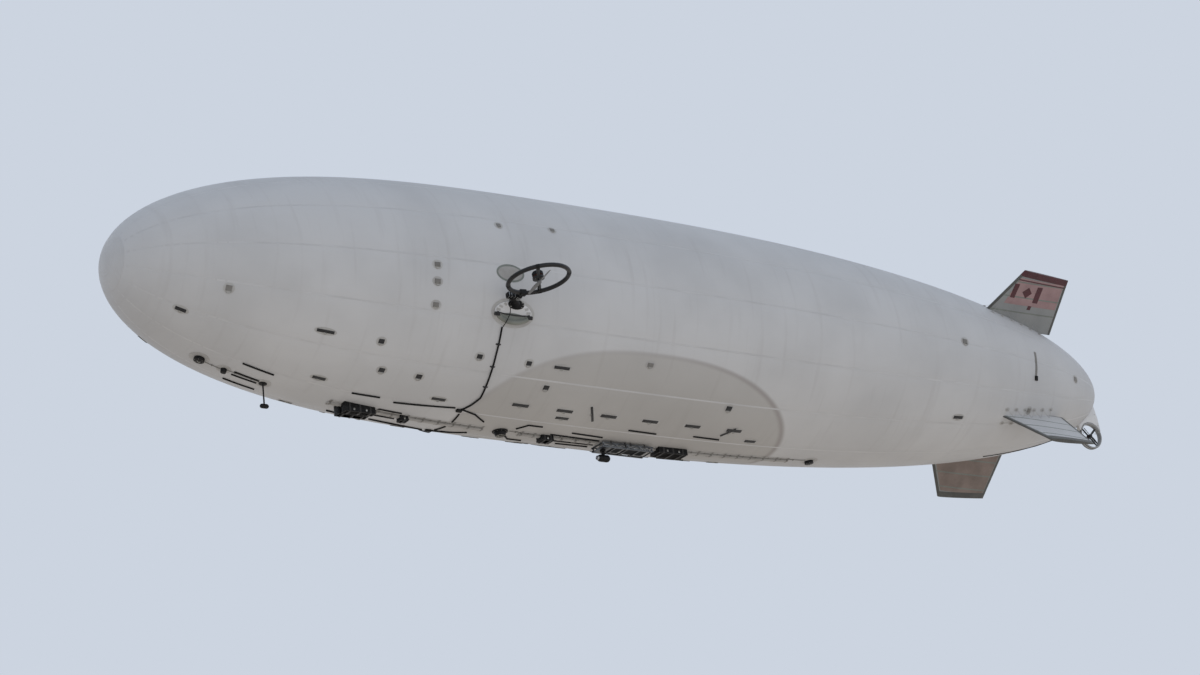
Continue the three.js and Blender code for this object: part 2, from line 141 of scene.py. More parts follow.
@dataclass(frozen=True)
class Finish:
    """What every finish shares: the record's slot and two tones that a soft noise blends."""

    name: str
    slot: str
    light: str
    dark: str
    patch: float
    roughness: float

    def tone(self, tree: Tree, place: Socket) -> Socket:
        """Blend the two tones in soft patches of the finish's own size.

        Args:
            tree: the material's node tree.
            place: Object coordinates.

        Returns:
            The colour socket.
        """
        spread = remap(tree, noise(tree, place, 1 / self.patch, 4.0), (0.38, 0.66))
        return blend(tree, spread, self.light, self.dark)

    def surface(self, tree: Tree, colour: Socket, **inputs) -> Node:
        """Make the surface shader of a colour, with inputs whose names have _ for a space."""
        values = {"Base Color": colour, "Roughness": self.roughness}
        values.update({name.replace("_", " "): value for name, value in inputs.items()})
        return add_node(tree, "BsdfPrincipled", values)

    def shader(self, tree: Tree, place: Socket) -> Node:
        """Give the surface shader; each finish adds its own pattern to this one."""
        return self.surface(tree, self.tone(tree, place))

    def material(self) -> bpy.types.Material:
        """Give the finish's material, made the first time it is asked for.

        Returns:
            The material.
        """
        known = bpy.data.materials.get(self.name)
        if known:
            return known
        made = bpy.data.materials.new(self.name)
        made.use_nodes = True
        tree = made.node_tree
        tree.nodes.clear()
        place = add_node(tree, "TexCoord").outputs["Object"]
        add_node(tree, "OutputMaterial", {"Surface": self.shader(tree, place).outputs[0]})
        return made


def bump(tree: Tree, height: Socket, depth: float, strength: float = 1.0) -> Socket:
    """Turn a height pattern to a normal.

    Args:
        tree: the material's node tree.
        height: the pattern's socket, 0 to 1.
        depth: the real depth from 0 to 1, in metres.
        strength: how much of it shows.

    Returns:
        The normal socket.
    """
    inputs = {"Height": height, "Distance": depth, "Strength": strength}
    return add_node(tree, "Bump", inputs).outputs[0]


@dataclass(frozen=True)
class GasCloth(Finish):
    """Laminated gas cloth, woven polyester under a weldable film.

    It gives the eye a smooth, faintly satin skin with slow tone drift, thin rain streaks below the seams,
    and a soft darker, warmer patch on the belly, which is painted shade of the ballonet seen through the
    cloth.
    """

    patch_middle: float = 0.82
    patch_reach: float = 2.83
    patch_angle: float = 58.0
    # The ballonet patch's tint and share paint shade: the inner ballonet as it shows through the cloth
    ballonet_shade_tint: str = "928d85"
    ballonet_shade_share: float = 0.42
    edge_tint: str = "6f6460"
    squareness: float = 2.4

    def ballonet(self, tree: Tree, axes: Sequence[Socket]) -> Socket:
        """Measure how far out a point is from the ballonet's middle, 1 on its outline."""
        along = compute(tree, "SUBTRACT", axes[0], self.patch_middle)
        along = compute(tree, "DIVIDE", along, self.patch_reach)
        around = compute(tree, "ARCTAN2", axes[1], compute(tree, "MULTIPLY", axes[2], -1.0))
        around = compute(tree, "DIVIDE", around, radians(self.patch_angle))
        powers = [compute(tree, "POWER", compute(tree, "ABSOLUTE", part), self.squareness)
                  for part in (along, around)]
        return compute(tree, "ADD", *powers)

    def shader(self, tree: Tree, place: Socket) -> Node:
        """Lay the ballonet's patch of painted shade and its edge line over the cloth, with shallow
        wrinkles in the skin.
        """
        axes = add_node(tree, "SeparateXYZ", {0: place}).outputs
        reach = self.ballonet(tree, axes)
        # Painted shade: the darker, warmer fill inside the ballonet's outline
        inside = remap(tree, reach, (1.06, 0.93), interpolation_type="SMOOTHSTEP")
        share = compute(tree, "MULTIPLY", inside, self.ballonet_shade_share)
        colour = blend(tree, share, self.tone(tree, place), self.ballonet_shade_tint)
        # The patch's edge is a thin line that shows most at its aft end
        offset = compute(tree, "ABSOLUTE", compute(tree, "SUBTRACT", reach, 1.0))
        edge = remap(tree, offset, (0.075, 0.0), (0.0, 0.46), interpolation_type="SMOOTHSTEP")
        edge = compute(tree, "MULTIPLY", edge, remap(tree, axes[0], (1.5, -1.2), (0.35, 1.0)))
        colour = blend(tree, edge, colour, self.edge_tint)
        # Rain streaks run down and round the hull: narrow along X, long across it
        stretched = add_node(tree, "Mapping", {0: place, "Scale": (9.0, 0.7, 0.7)}).outputs[0]
        faint = remap(tree, noise(tree, stretched, 1.0, 2.0), (0.58, 0.8), (0.0, 0.10))
        colour = blend(tree, faint, colour, self.edge_tint)
        wrinkle = bump(tree, noise(tree, place, 1 / 0.35, 2.0), 0.004, 0.5)
        return self.surface(tree, colour, Specular_IOR_Level=0.15, Normal=wrinkle)


@dataclass(frozen=True)
class WovenCloth(Finish):
    """Uncoated woven cloth or webbing: the eye sees a matt surface ribbed by its threads.

    The threads are a few tenths of a millimetre apart; ribs are drawn at the size given, so that
    they show.
    """

    rib: float = 0.008
    sheen: float = 0.2

    def shader(self, tree: Tree, place: Socket) -> Node:
        """Cross two bands of ribs, as warp and weft do."""
        inputs = {"Vector": place, "Scale": WAVE_SCALE / self.rib, "Distortion": 0.6}
        heights = [add_node(tree, "TexWave", inputs, bands_direction=direction).outputs[1]
                   for direction in ("X", "Z")]
        ribs = bump(tree, compute(tree, "ADD", *heights), self.rib * 0.12)
        return self.surface(tree, self.tone(tree, place), Sheen_Weight=self.sheen, Normal=ribs)


@dataclass(frozen=True)
class MouldedPlastic(Finish):
    """Injection-moulded ABS or glass-filled nylon: a fine spark-eroded grain breaks its highlights."""

    grain: float = 0.0015
    coat: float = 0.0
    shine: float = 0.22

    def shader(self, tree: Tree, place: Socket) -> Node:
        """Grain the surface and let handling polish it unevenly."""
        grain = bump(tree, noise(tree, place, 1 / self.grain, 2.0), self.grain * 0.12)
        polish = remap(tree, noise(tree, place, 14.0, 3.0), (0.3, 0.7),
                       (self.roughness - 0.08, self.roughness + 0.08))
        return self.surface(tree, self.tone(tree, place), Roughness=polish, Coat_Weight=self.coat,
                            Coat_Roughness=0.12, Specular_IOR_Level=self.shine, Normal=grain)


@dataclass(frozen=True)
class CarbonTwill(Finish):
    """Woven carbon in epoxy under clear coat: black, with a soft diagonal twill inside a hard gloss.

    Tows are 2 mm wide; the twill is drawn at 6 mm so that it shows.
    """

    tow: float = 0.006

    def shader(self, tree: Tree, place: Socket) -> Node:
        """Cross two diagonal bands under a clear coat."""
        bands = {"Vector": place, "Scale": WAVE_SCALE / self.tow}
        wave = add_node(tree, "TexWave", bands, bands_direction="DIAGONAL")
        check = add_node(tree, "TexChecker", {"Vector": place, "Scale": 1 / self.tow})
        twill = compute(tree, "MULTIPLY", wave.outputs[1], check.outputs[1])
        colour = blend(tree, twill, self.dark, self.light)
        return self.surface(tree, colour, Coat_Weight=0.25, Coat_Roughness=0.2, Specular_IOR_Level=0.3)


@dataclass(frozen=True)
class Metal(Finish):
    """Bare metal, extruded or turned: a bright reflection drawn out along faint tool lines."""

    line: float = 0.0012

    def shader(self, tree: Tree, place: Socket) -> Node:
        """Score the surface along X and dull it in patches."""
        drawn = add_node(tree, "Mapping", {0: place, "Scale": (6.0, 1 / self.line, 1 / self.line)})
        lines = bump(tree, noise(tree, drawn.outputs[0], 1.0, 1.0), self.line * 0.1)
        polish = remap(tree, noise(tree, place, 9.0, 3.0), (0.3, 0.7),
                       (self.roughness - 0.07, self.roughness + 0.1))
        return self.surface(tree, self.tone(tree, place), Metallic=1.0, Roughness=polish, Normal=lines)


@dataclass(frozen=True)
class CoatedGlass(Finish):
    """A coated lens: near black and mirror smooth, with the coating's faint violet reflection painted into
    its colour at the rim.
    """

    def shader(self, tree: Tree, place: Socket) -> Node:
        """Blend the dark depth with a painted violet reflection by how steeply the glass turns away."""
        turn = add_node(tree, "LayerWeight", {"Blend": 0.35}).outputs[1]
        # Painted reflection: the coating's violet is put into the colour where the glass turns away
        painted_reflection = blend(tree, turn, self.dark, self.light)
        return self.surface(tree, painted_reflection, IOR=1.62, Coat_Weight=1.0)


WEBBING = "webbing_grey"
GAS_CLOTH = GasCloth("laminated_gas_cloth", "envelope_cloth", "bfc0c2", "b6b7b9", 1.4, 0.48)
SEAM_TAPE = WovenCloth("welded_seam_tape", "envelope_cloth", "bebfc1", "b5b6b8", 0.5, 0.48, rib=0.012)
PATCH_CLOTH = WovenCloth("bonded_patch_cloth", "envelope_cloth", "adadac", "a09f9e", 0.3, 0.56, rib=0.01)
# Painted shade: the roll's dark grey-green stands for the shade on the thruster pad's lower half
ROLL_CLOTH_PAINTED_SHADE = WovenCloth("grey_green_roll_cloth_painted_shade", "white_shell", "7d8079", "6c6f69", 0.2, 0.6, rib=0.008)
FIN_CLOTH = WovenCloth("grey_green_fin_cloth", "fin_cloth", "878a8b", "7a7d7f", 0.6, 0.62, rib=0.014)
# Painted shade: brown cloth for the lower fins' downward faces, dark and warm as faces turned to the
# ground look
PAINTED_SHADE_FIN_CLOTH = WovenCloth("painted_shade_brown_fin_cloth", "fin_cloth", "7d706a", "6b5f59", 0.3, 0.62, rib=0.014)
RED_CLOTH = WovenCloth("dark_red_fin_cloth", "fin_cloth", "4a1622", "3a1019", 0.25, 0.6, rib=0.010)
PINK_CLOTH = WovenCloth("faded_rose_fin_cloth", "fin_cloth", "9a7f80", "8b7072", 0.25, 0.6, rib=0.010)
RIB_CLOTH = WovenCloth("grey_rib_tape", "fin_cloth", "747a75", "696e6a", 0.3, 0.62, rib=0.012)
EDGE_CLOTH = WovenCloth("dark_edge_cloth", "fin_cloth", "50514f", "414240", 0.25, 0.65, rib=0.010)
GREY_WEBBING = WovenCloth("grey_polyester_webbing", WEBBING, "7c7a77", "6a6865", 0.2, 0.72, rib=0.004)
PALE_WEBBING = WovenCloth("pale_polyester_webbing", WEBBING, "9f9e9c", "918f8d", 0.2, 0.72, rib=0.004)
BLACK_WEBBING = WovenCloth("black_polyester_webbing", WEBBING, "212123", "171719", 0.2, 0.8, rib=0.004)
BLACK_ABS = MouldedPlastic("black_moulded_abs", "black_case", "131416", "0c0c0e", 0.15, 0.5)
BLACK_RUBBER = MouldedPlastic("black_rubber", "black_case", "121213", "0b0b0c", 0.1, 0.7, grain=0.003)
BLADE_NYLON = MouldedPlastic("grey_moulded_nylon", "blade_grey", "7b7d80", "6c6e71", 0.12, 0.36, coat=0.2)
WHITE_SHELL = MouldedPlastic("white_gel_coat_shell", "white_shell", "cfd0d2", "bfc0c2", 0.3, 0.34,
                             coat=0.4)
GREY_PAINT = MouldedPlastic("grey_powder_coat", "case_grey", "9a9c9e", "8b8d8f", 0.2, 0.5, grain=0.002)
CARBON = CarbonTwill("clear_coated_carbon_twill", "carbon_tube", "1d1e21", "0c0c0e", 0.1, 0.45)
ALUMINIUM = Metal("mill_finish_aluminium", "frame_aluminium", "c3c6c9", "a9acaf", 0.1, 0.34)
ANODISED = Metal("grey_anodised_aluminium", "frame_aluminium", "6b6e72", "57595d", 0.1, 0.42)
ZINC_STEEL = Metal("zinc_plated_steel", "frame_aluminium", "b3b2ad", "8e8d88", 0.05, 0.3)
# The lens's light tone is the violet of a painted reflection
LENS_GLASS = CoatedGlass("coated_lens_glass", "black_case", "3a3350", "050508", 0.1, 0.04)
COPPER = Metal("enamelled_copper_wire", "black_case", "6e3a22", "4a2414", 0.02, 0.32, line=0.002)


# The modelling bench: each tool works on one piece, with nothing else selected


def shifted(place: Point) -> Matrix:
    """Give the move to a place."""
    return Matrix.Translation(place)


def spun(angle: float, axis: str) -> Matrix:
    """Give the turn about an axis by an angle in radians."""
    return Matrix.Rotation(angle, 4, axis)


def frame_of(*axes: Vector) -> Matrix:
    """Give the turn that carries X, Y and Z over to three square axes."""
    return Matrix(axes).transposed().to_4x4()


def take(piece: Piece) -> None:
    """Select one piece alone and make it active."""
    bpy.ops.object.select_all(action="DESELECT")
    piece.select_set(True)
    bpy.context.view_layer.objects.active = piece


def edit(piece: Piece, every: bool = True) -> None:
    """Open a piece in edit mode with all of it, or none of it, selected."""
    take(piece)
    bpy.ops.object.mode_set(mode="EDIT")
    bpy.ops.mesh.select_mode(type="VERT")
    bpy.ops.mesh.select_all(action="SELECT" if every else "DESELECT")


def close() -> Piece:
    """Leave edit mode and give the active piece."""
    bpy.ops.object.mode_set(mode="OBJECT")
    return bpy.context.object


def pick(piece: Piece, test: Callable[[Vector], bool], faces: bool = False) -> None:
    """Open a piece in edit mode with only the points, or faces, selected that pass a test.

    Args:
        piece: the piece to open.
        test: says of a point's place, or of a face's middle, whether it is wanted.
        faces: whether faces are tested in place of points.
    """
    edit(piece, every=False)
    bpy.ops.mesh.select_mode(type="FACE" if faces else "VERT")
    bpy.ops.object.mode_set(mode="OBJECT")
    for item in piece.data.polygons if faces else piece.data.vertices:
        item.select = test(item.center if faces else item.co)
    bpy.ops.object.mode_set(mode="EDIT")


def settle(piece: Piece, place: Matrix | None = None) -> Piece:
    """Turn and place a piece, and keep its place in its mesh."""
    take(piece)
    if place is not None:
        piece.matrix_world = place @ piece.matrix_world
    bpy.ops.object.transform_apply(location=True, rotation=True, scale=True)
    return piece


def copy_of(piece: Piece, place: Matrix | None = None) -> Piece:
    """Copy a piece with its own mesh, and place the copy."""
    take(piece)
    bpy.ops.object.duplicate(linked=False)
    return settle(bpy.context.object, place)


def mirrored(piece: Piece) -> Piece:
    """Copy a piece across the hull's middle plane, with its faces turned back outwards."""
    copy = copy_of(piece, Matrix.Diagonal((1, -1, 1, 1)))
    edit(copy)
    bpy.ops.mesh.normals_make_consistent(inside=False)
    return close()


def modify(piece: Piece, kind: str, **settings) -> Piece:
    """Add a modifier with its settings and apply it."""
    take(piece)
    modifier = piece.modifiers.new(kind.title(), kind)
    for name, value in settings.items():
        setattr(modifier, name, value)
    bpy.ops.object.modifier_apply(modifier=modifier.name)
    return piece


def join(pieces: Iterable[Piece]) -> Piece:
    """Join pieces into the first of them."""
    first, *others = pieces
    take(first)
    for other in others:
        other.select_set(True)
    if others:
        bpy.ops.object.join()
    return first


def chain(points: Sequence[Point]) -> Piece:
    """Draw a chain of edges through points, by extruding one point onwards."""
    bpy.ops.object.select_all(action="DESELECT")
    bpy.ops.mesh.primitive_circle_add(vertices=3, radius=0.001, location=points[0])
    piece = settle(bpy.context.object)
    edit(piece)
    bpy.ops.mesh.merge(type="CENTER")
    for start, end in zip(points, points[1:]):
        step = Vector(end) - Vector(start)
        bpy.ops.mesh.extrude_region_move(TRANSFORM_OT_translate={"value": step})
    return close()


def lathe(profile: Profile, steps: int = 48, place: Matrix | None = None) -> Piece:
    """Spin a profile about Z.

    Args:
        profile: radius and height of each point, from axis to axis, or back to its first point.
        steps: how many facets go round.
        place: where the turned piece goes.

    Returns:
        The closed piece.
    """
    piece = chain([(radius, 0, height) for radius, height in profile])
    edit(piece)
    bpy.ops.mesh.spin(steps=steps, angle=tau, center=(0, 0, 0), axis=(0, 0, 1), use_auto_merge=True)
    bpy.ops.mesh.select_all(action="SELECT")
    bpy.ops.mesh.remove_doubles(threshold=1e-5)
    bpy.ops.mesh.normals_make_consistent(inside=False)
    return settle(close(), place)


def block(low: Point, high: Point, round_edge: float = 0.003, place: Matrix | None = None) -> Piece:
    """Make a box between two corners with rounded edges."""
    bpy.ops.object.select_all(action="DESELECT")
    middle = (Vector(low) + Vector(high)) / 2
    bpy.ops.mesh.primitive_cube_add(size=1, location=middle, scale=Vector(high) - Vector(low))
    piece = settle(bpy.context.object)
    edit(piece)
    bpy.ops.mesh.bevel(offset=round_edge, segments=2, affect="EDGES")
    return settle(close(), place)


def slab(x: float, half: float, sides: Point, heights: Point, edge: float) -> Piece:
    """Make a block about a station, between two sides and two heights given in either order."""
    return block((x - half, min(sides), min(heights)), (x + half, max(sides), max(heights)), edge)


def circle(radius: float, height: float, count: int) -> list[tuple[float, float, float]]:
    """List points evenly round Z at a height."""
    return [(radius * cos(tau * i / count), radius * sin(tau * i / count), height) for i in range(count)]


def tube(points: Sequence[Point], radius: float, closed: bool = False, sides: int = 3) -> Piece:
    """Run a round tube through points.

    Args:
        points: the points along its middle.
        radius: the tube's radius.
        closed: whether the last point joins the first.
        sides: facets in a quarter of its section, less one.

    Returns:
        The tube as a mesh.
    """
    curve = bpy.data.curves.new("tube", "CURVE")
    curve.dimensions = "3D"
    curve.bevel_depth = radius
    curve.bevel_resolution = sides
    curve.use_fill_caps = not closed
    spline = curve.splines.new("POLY")
    spline.points.add(len(points) - 1)
    for knot, point in zip(spline.points, points):
        knot.co = (*point, 1)
    spline.use_cyclic_u = closed
    piece = bpy.data.objects.new("tube", curve)
    bpy.context.collection.objects.link(piece)
    take(piece)
    bpy.ops.object.convert(target="MESH")
    return bpy.context.object


def eased(piece: Piece, width: float, segments: int = 2, angle: float = 50.0) -> Piece:
    """Round the edges of a piece that are sharper than an angle in degrees."""
    return modify(piece, "BEVEL", width=width, segments=segments, limit_method="ANGLE",
                  angle_limit=radians(angle))


def lay(flat: Piece, target: Piece, thick: float, lift: float = 0.0005) -> Piece:
    """Wrap a flat piece onto a surface and thicken it outwards."""
    modify(flat, "SHRINKWRAP", target=target, wrap_method="NEAREST_SURFACEPOINT",
           wrap_mode="ABOVE_SURFACE", offset=lift)
    return modify(flat, "SOLIDIFY", thickness=thick, offset=1)


def strap(target: Piece, start: Point, end: Point, width: float, thick: float = 0.003,
          up: Point = (0, 0, 1)) -> Piece:
    """Lay a flat strap on a surface.

    Args:
        target: the piece whose surface it lies on.
        start: the middle of its first end.
        end: the middle of its other end.
        width: its width.
        thick: its thickness.
        up: the direction that its face looks in.

    Returns:
        The strap.
    """
    length = (Vector(end) - Vector(start)).length
    steps = max(4, round(length / 0.06))
    bpy.ops.object.select_all(action="DESELECT")
    bpy.ops.mesh.primitive_grid_add(x_subdivisions=4, y_subdivisions=steps, size=1)
    flat = bpy.context.object
    flat.scale = (width, length, 1)
    settle(flat)
    along = (Vector(end) - Vector(start)).normalized()
    out = (Vector(up) - along * Vector(up).dot(along)).normalized()
    settle(flat, shifted((Vector(start) + Vector(end)) / 2) @ frame_of(along.cross(out), along, out))
    return lay(flat, target, thick)


def oval(target: Piece, place: Matrix, long: float, wide: float, thick: float = 0.0025) -> Piece:
    """Lay an oval cloth patch on a surface, its length along the place's X."""
    bpy.ops.object.select_all(action="DESELECT")
    bpy.ops.mesh.primitive_circle_add(vertices=32, radius=0.5, fill_type="TRIFAN")
    flat = bpy.context.object
    edit(flat)
    bpy.ops.mesh.subdivide(number_cuts=2)
    close()
    flat.scale = (long, wide, 1)
    settle(flat)
    settle(flat, place)
    return lay(flat, target, thick)


def dress(piece: Piece, name: str, finish: Finish, *nodes: str, body: str = "airframe",
          angle: float = 35.0) -> Piece:
    """Finish a piece: its name, material, smoothing and body, and hide the nodes that it stands for.

    Args:
        piece: the piece.
        name: its plain name.
        finish: its finish.
        *nodes: CAD nodes that it replaces.
        body: the body that it rides on.
        angle: edges sharper than this, in degrees, stay sharp.

    Returns:
        The piece.
    """
    settle(piece)
    piece.name = name
    piece.data.name = name
    bpy.ops.object.shade_smooth_by_angle(angle=radians(angle))
    piece.data.materials.clear()
    piece.data.materials.append(finish.material())
    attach(piece, body)
    if nodes:
        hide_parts(*nodes)
    LOG.info("%s rides on %s", name, body)
    return piece


def eased_copy(node: str, edge: float = 0.0015) -> Piece:
    """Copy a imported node, merge its loose triangles and ease its sharp edges.

    Args:
        node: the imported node's name.
        edge: how wide the eased edges are; none are eased at 0.

    Returns:
        The copy.
    """
    copy = copy_of(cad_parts[node])
    edit(copy)
    bpy.ops.mesh.remove_doubles(threshold=1e-6)
    bpy.ops.mesh.dissolve_limited(angle_limit=radians(1.0))
    close()
    if edge:
        eased(copy, edge, angle=40.0)
    return copy


# The hull


@dataclass(frozen=True)
class HullForm:
    """The hull's surface of revolution, radius = largest * sqrt(1 - u^fullness)."""

    half: float
    radius: float
    widest: float = 1.11
    nose_fullness: float = 3.33
    tail_fullness: float = 2.32

    def at(self, x: float) -> float:
        """Radius at a station."""
        ahead = x > self.widest
        reach = self.half - self.widest if ahead else self.half + self.widest
        u = min(1.0, abs(x - self.widest) / reach)
        return self.radius * sqrt(max(0.0, 1 - u ** (self.nose_fullness if ahead else self.tail_fullness)))

    def lean(self, x: float) -> float:
        """Angle by which the outward normal leans towards the nose."""
        step = 0.002
        return atan2(self.at(x - step) - self.at(x + step), 2 * step)

    def point(self, x: float, angle: float, out: float = 0.0) -> Vector:
        """Place a point at a station, an angle from port in degrees, and a height off the skin."""
        return self.spot(x, angle) @ Vector((0, 0, out))

    def spot(self, x: float, angle: float) -> Matrix:
        """Give the frame on the skin: X forward along it, Z straight out."""
        lean = self.lean(x)
        turn = radians(angle)
        out = Vector((sin(lean), cos(lean) * cos(turn), cos(lean) * sin(turn)))
        forward = Vector((cos(lean), -sin(lean) * cos(turn), -sin(lean) * sin(turn)))
        place = shifted((x, self.at(x) * cos(turn), self.at(x) * sin(turn)))
        return place @ frame_of(forward, out.cross(forward), out)


@dataclass
class Envelope:
    """The gas envelope: long gores welded edge to edge, with tape over each seam."""

    form: HullForm
    gores: int = 14
    panels_per_gore: int = 12
    stations: int = 110
    seam_dip: float = 0.0035
    tape_width: float = 0.026
    tape_thick: float = 0.0008
    cap_radius: float = 0.40

    def profile(self, steps: int, ends: float = 1.0) -> Profile:
        """List radius and station from tail to nose, closer together towards the ends."""
        stops = [-self.form.half * ends * cos(pi * i / steps) for i in range(steps + 1)]
        return [(self.form.at(x), x) for x in stops]

    def build(self) -> Piece:
        """Spin the gores and dress them.

        Returns:
            The envelope, which everything on the skin is laid on.
        """
        skin = lathe(self.profile(self.stations), self.gores * self.panels_per_gore, ALONG_X)
        gore = tau / self.gores

        def on_seam(place: Vector) -> bool:
            """Say whether a point lies on a seam."""
            return abs((atan2(place.z, place.y) / gore + 0.5) % 1 - 0.5) < 0.02

        pick(skin, on_seam)
        dip = 1 - self.seam_dip
        bpy.ops.transform.resize(value=(1, dip, dip), center_override=(0, 0, 0))
        close()
        return dress(skin, "gas_envelope", GAS_CLOTH, "envelope", angle=60)

    def tapes(self, skin: Piece) -> None:
        """Lay a tape along each seam and a disc over each end."""
        stops = self.profile(90, 0.9985)
        first = chain([(x, -self.tape_width / 2, -radius) for radius, x in stops])
        edit(first)
        across = {"value": (0, self.tape_width / 2, 0)}
        for _ in range(2):
            bpy.ops.mesh.extrude_region_move(TRANSFORM_OT_translate=across)
        close()
        settle(first, spun(pi / 2, "X"))
        modify(first, "SHRINKWRAP", target=skin, wrap_method="NEAREST_SURFACEPOINT",
               wrap_mode="ABOVE_SURFACE", offset=0.0006)
        edit(first)
        bpy.ops.mesh.normals_make_consistent(inside=False)
        close()
        modify(first, "SOLIDIFY", thickness=self.tape_thick, offset=0)
        copies = [copy_of(first, spun(i * tau / self.gores, "X")) for i in range(1, self.gores)]
        dress(join([first, *copies]), "gore_seam_tapes", SEAM_TAPE)
        for name, end in (("nose_cap", 1), ("tail_cap", -1)):
            dress(self.cap(end), name, SEAM_TAPE)

    def cap(self, end: int) -> Piece:
        """Model the reinforcing disc over one end, 1 for the nose and -1 for the tail."""
        far = end * self.form.half
        near = far
        while self.form.at(near) < self.cap_radius:
            near -= end * 0.0025
        rim = [far + (near - far) * sin(pi / 2 * i / 10) ** 2 for i in range(11)]
        lift = 0.0012
        outer = [(self.form.at(x) + lift * sin(pi * i / 22), x + end * lift) for i, x in enumerate(rim)]
        inner = [(max(0.0, self.form.at(x) - 0.004), x - end * 0.004) for x in reversed(rim)]
        return lathe([(0.0, outer[0][1]), *outer[1:], *inner[:-1], (0.0, inner[-1][1])], 56, ALONG_X)


# Tail


@dataclass
class TailFins:
    """Four fins in an X: cloth over ribs, with edge sleeves, a dark red tip band and tip marks."""

    form: HullForm
    angles: dict[str, float] = field(default_factory=lambda: {
        "upper_port": 45, "upper_starboard": 135, "lower_port": -45, "lower_starboard": -135})
    root_front: float = -6.02
    root_back: float = -7.67
    tip_front: float = -6.68
    tip_back: float = -7.62
    root_radius: float = 1.02
    tip_radius: float = 2.05
    tip_back_radius: float = 1.995
    thick: float = 0.060
    ribs: int = 4
    band: float = 0.10
    sleeve: float = 0.045
    lacing_reach: float = 0.10
    lacing_spread: float = 7.0
    lacing_first: float = -6.25
    lacing_step: float = 0.22
    knots: int = 6

    def front(self, radius: float) -> float:
        """Station of the leading edge at a radius."""
        share = (radius - self.root_radius) / (self.tip_radius - self.root_radius)
        return self.root_front + share * (self.tip_front - self.root_front)

    def back(self, radius: float) -> float:
        """Station of the trailing edge at a radius."""
        share = (radius - self.root_radius) / (self.tip_back_radius - self.root_radius)
        return self.root_back + share * (self.tip_back - self.root_back)

    def swell(self, place: Vector) -> float:
        """Share of the full thickness at a point of the panel: plump ahead, sagging between ribs."""
        front = self.front(place.y)
        share = min(1.0, max(0.0, (front - place.x) / (front - self.back(place.y))))
        plump = share ** 0.45 * (1 - share) ** 0.9 / 0.4235
        up = (place.y - self.root_radius) / (self.tip_radius - self.root_radius)
        sag = 0.14 * sin(pi * self.ribs * up) ** 2
        return 0.16 + 0.84 * plump * (1 - sag)

    def outline(self, corners: Profile, cuts: int) -> Piece:
        """Fill a flat outline given by station and radius, and divide it."""
        flat = chain([(x, radius, 0) for x, radius in corners])
        edit(flat)
        bpy.ops.mesh.edge_face_add()
        bpy.ops.mesh.subdivide(number_cuts=cuts)
        bpy.ops.mesh.normals_make_consistent(inside=False)
        return close()

    def panel(self) -> Piece:
        """Model one fin in the plane of X and Y."""
        flat = self.outline([(self.root_front, self.root_radius), (self.root_back, self.root_radius),
                             (self.tip_back, self.tip_back_radius), (self.tip_front, self.tip_radius)], 31)
        group = flat.vertex_groups.new(name="section")
        for vertex in flat.data.vertices:
            group.add([vertex.index], min(1.0, self.swell(vertex.co)), "REPLACE")
        modify(flat, "SOLIDIFY", thickness=self.thick, offset=0, vertex_group="section",
               thickness_vertex_group=0.06)
        return eased(flat, 0.0025)

    def cut(self, fin: Piece, place: Point, normal: Point, lift: float = 0.0018) -> Piece:
        """Copy the part of a fin beyond a plane, a little thicker, as a sleeve over it."""
        piece = copy_of(fin)
        edit(piece)
        bpy.ops.mesh.bisect(plane_co=place, plane_no=normal, use_fill=True, clear_inner=True)
        bpy.ops.mesh.select_all(action="SELECT")
        bpy.ops.transform.shrink_fatten(value=lift)
        return close()

    def on_faces(self, flat: Piece, fin: Piece, thick: float, sides: tuple[int, ...] = (1, -1)) -> Piece:
        """Lay a flat shape on the fin's faces: 1 for the one that looks along Z and -1 for the other."""
        faces = []
        for side in sides:
            copy = copy_of(flat, shifted((0, 0, side * self.thick)))
            edit(copy)
            bpy.ops.mesh.normals_make_consistent(inside=False)
            close()
            if copy.data.polygons[0].normal.z * side < 0:
                edit(copy)
                bpy.ops.mesh.flip_normals()
                close()
            faces.append(lay(copy, fin, thick, 0.0006))
        bpy.data.objects.remove(flat)
        return join(faces)

    def marks(self, fin: Piece) -> list[tuple[Piece, str, Finish]]:
        """Lay the tip marks: a rose panel with two dark red bars, a lozenge and a thin line above."""
        rose = self.outline([(-6.48, 1.46), (-7.58, 1.46), (-7.57, 1.90), (-6.64, 1.92)], 7)
        pieces = [(self.on_faces(rose, fin, 0.0010), "rose_panel", PINK_CLOTH)]
        shapes = [
            [(-6.555, 1.570), (-6.650, 1.570), (-6.665, 1.815), (-6.570, 1.815)],
            [(-7.045, 1.530), (-7.155, 1.530), (-7.155, 1.810), (-7.045, 1.810)],
            [(-6.770, 1.686), (-6.870, 1.590), (-6.970, 1.686), (-6.870, 1.780)],
            [(-6.99, 1.40), (-7.06, 1.40), (-7.06, 1.47), (-6.99, 1.47)],
            [(-6.62, 1.880), (-7.60, 1.850), (-7.60, 1.870), (-6.62, 1.900)],
        ]
        bars = [self.on_faces(self.outline(shape, 5), fin, 0.0022) for shape in shapes]
        pieces.append((join(bars), "tip_marks", RED_CLOTH))
        return pieces

    def face_panels(self, fin: Piece, place: str, turned: Matrix) -> None:
        """Cover a lower fin's upward face in pale cloth, as painted light, and its downward face in brown
        cloth, as painted shade.
        """
        upper = 1 if place == "lower_port" else -1
        # Painted light and shade: the upward face is pale as if lit from the sky, the downward face brown
        # as if in shade
        for side, name, finish in ((upper, "painted_light_upper_face", SEAM_TAPE), (-upper, "painted_shade_underside", PAINTED_SHADE_FIN_CLOTH)):
            flat = self.outline([(-6.12, 1.06), (-7.61, 1.06), (-7.57, 1.93), (-6.67, 1.93)], 15)
            panel = self.on_faces(flat, fin, 0.0010, (side,))
            dress(settle(panel, turned), f"fin_{place}_{name}", finish)

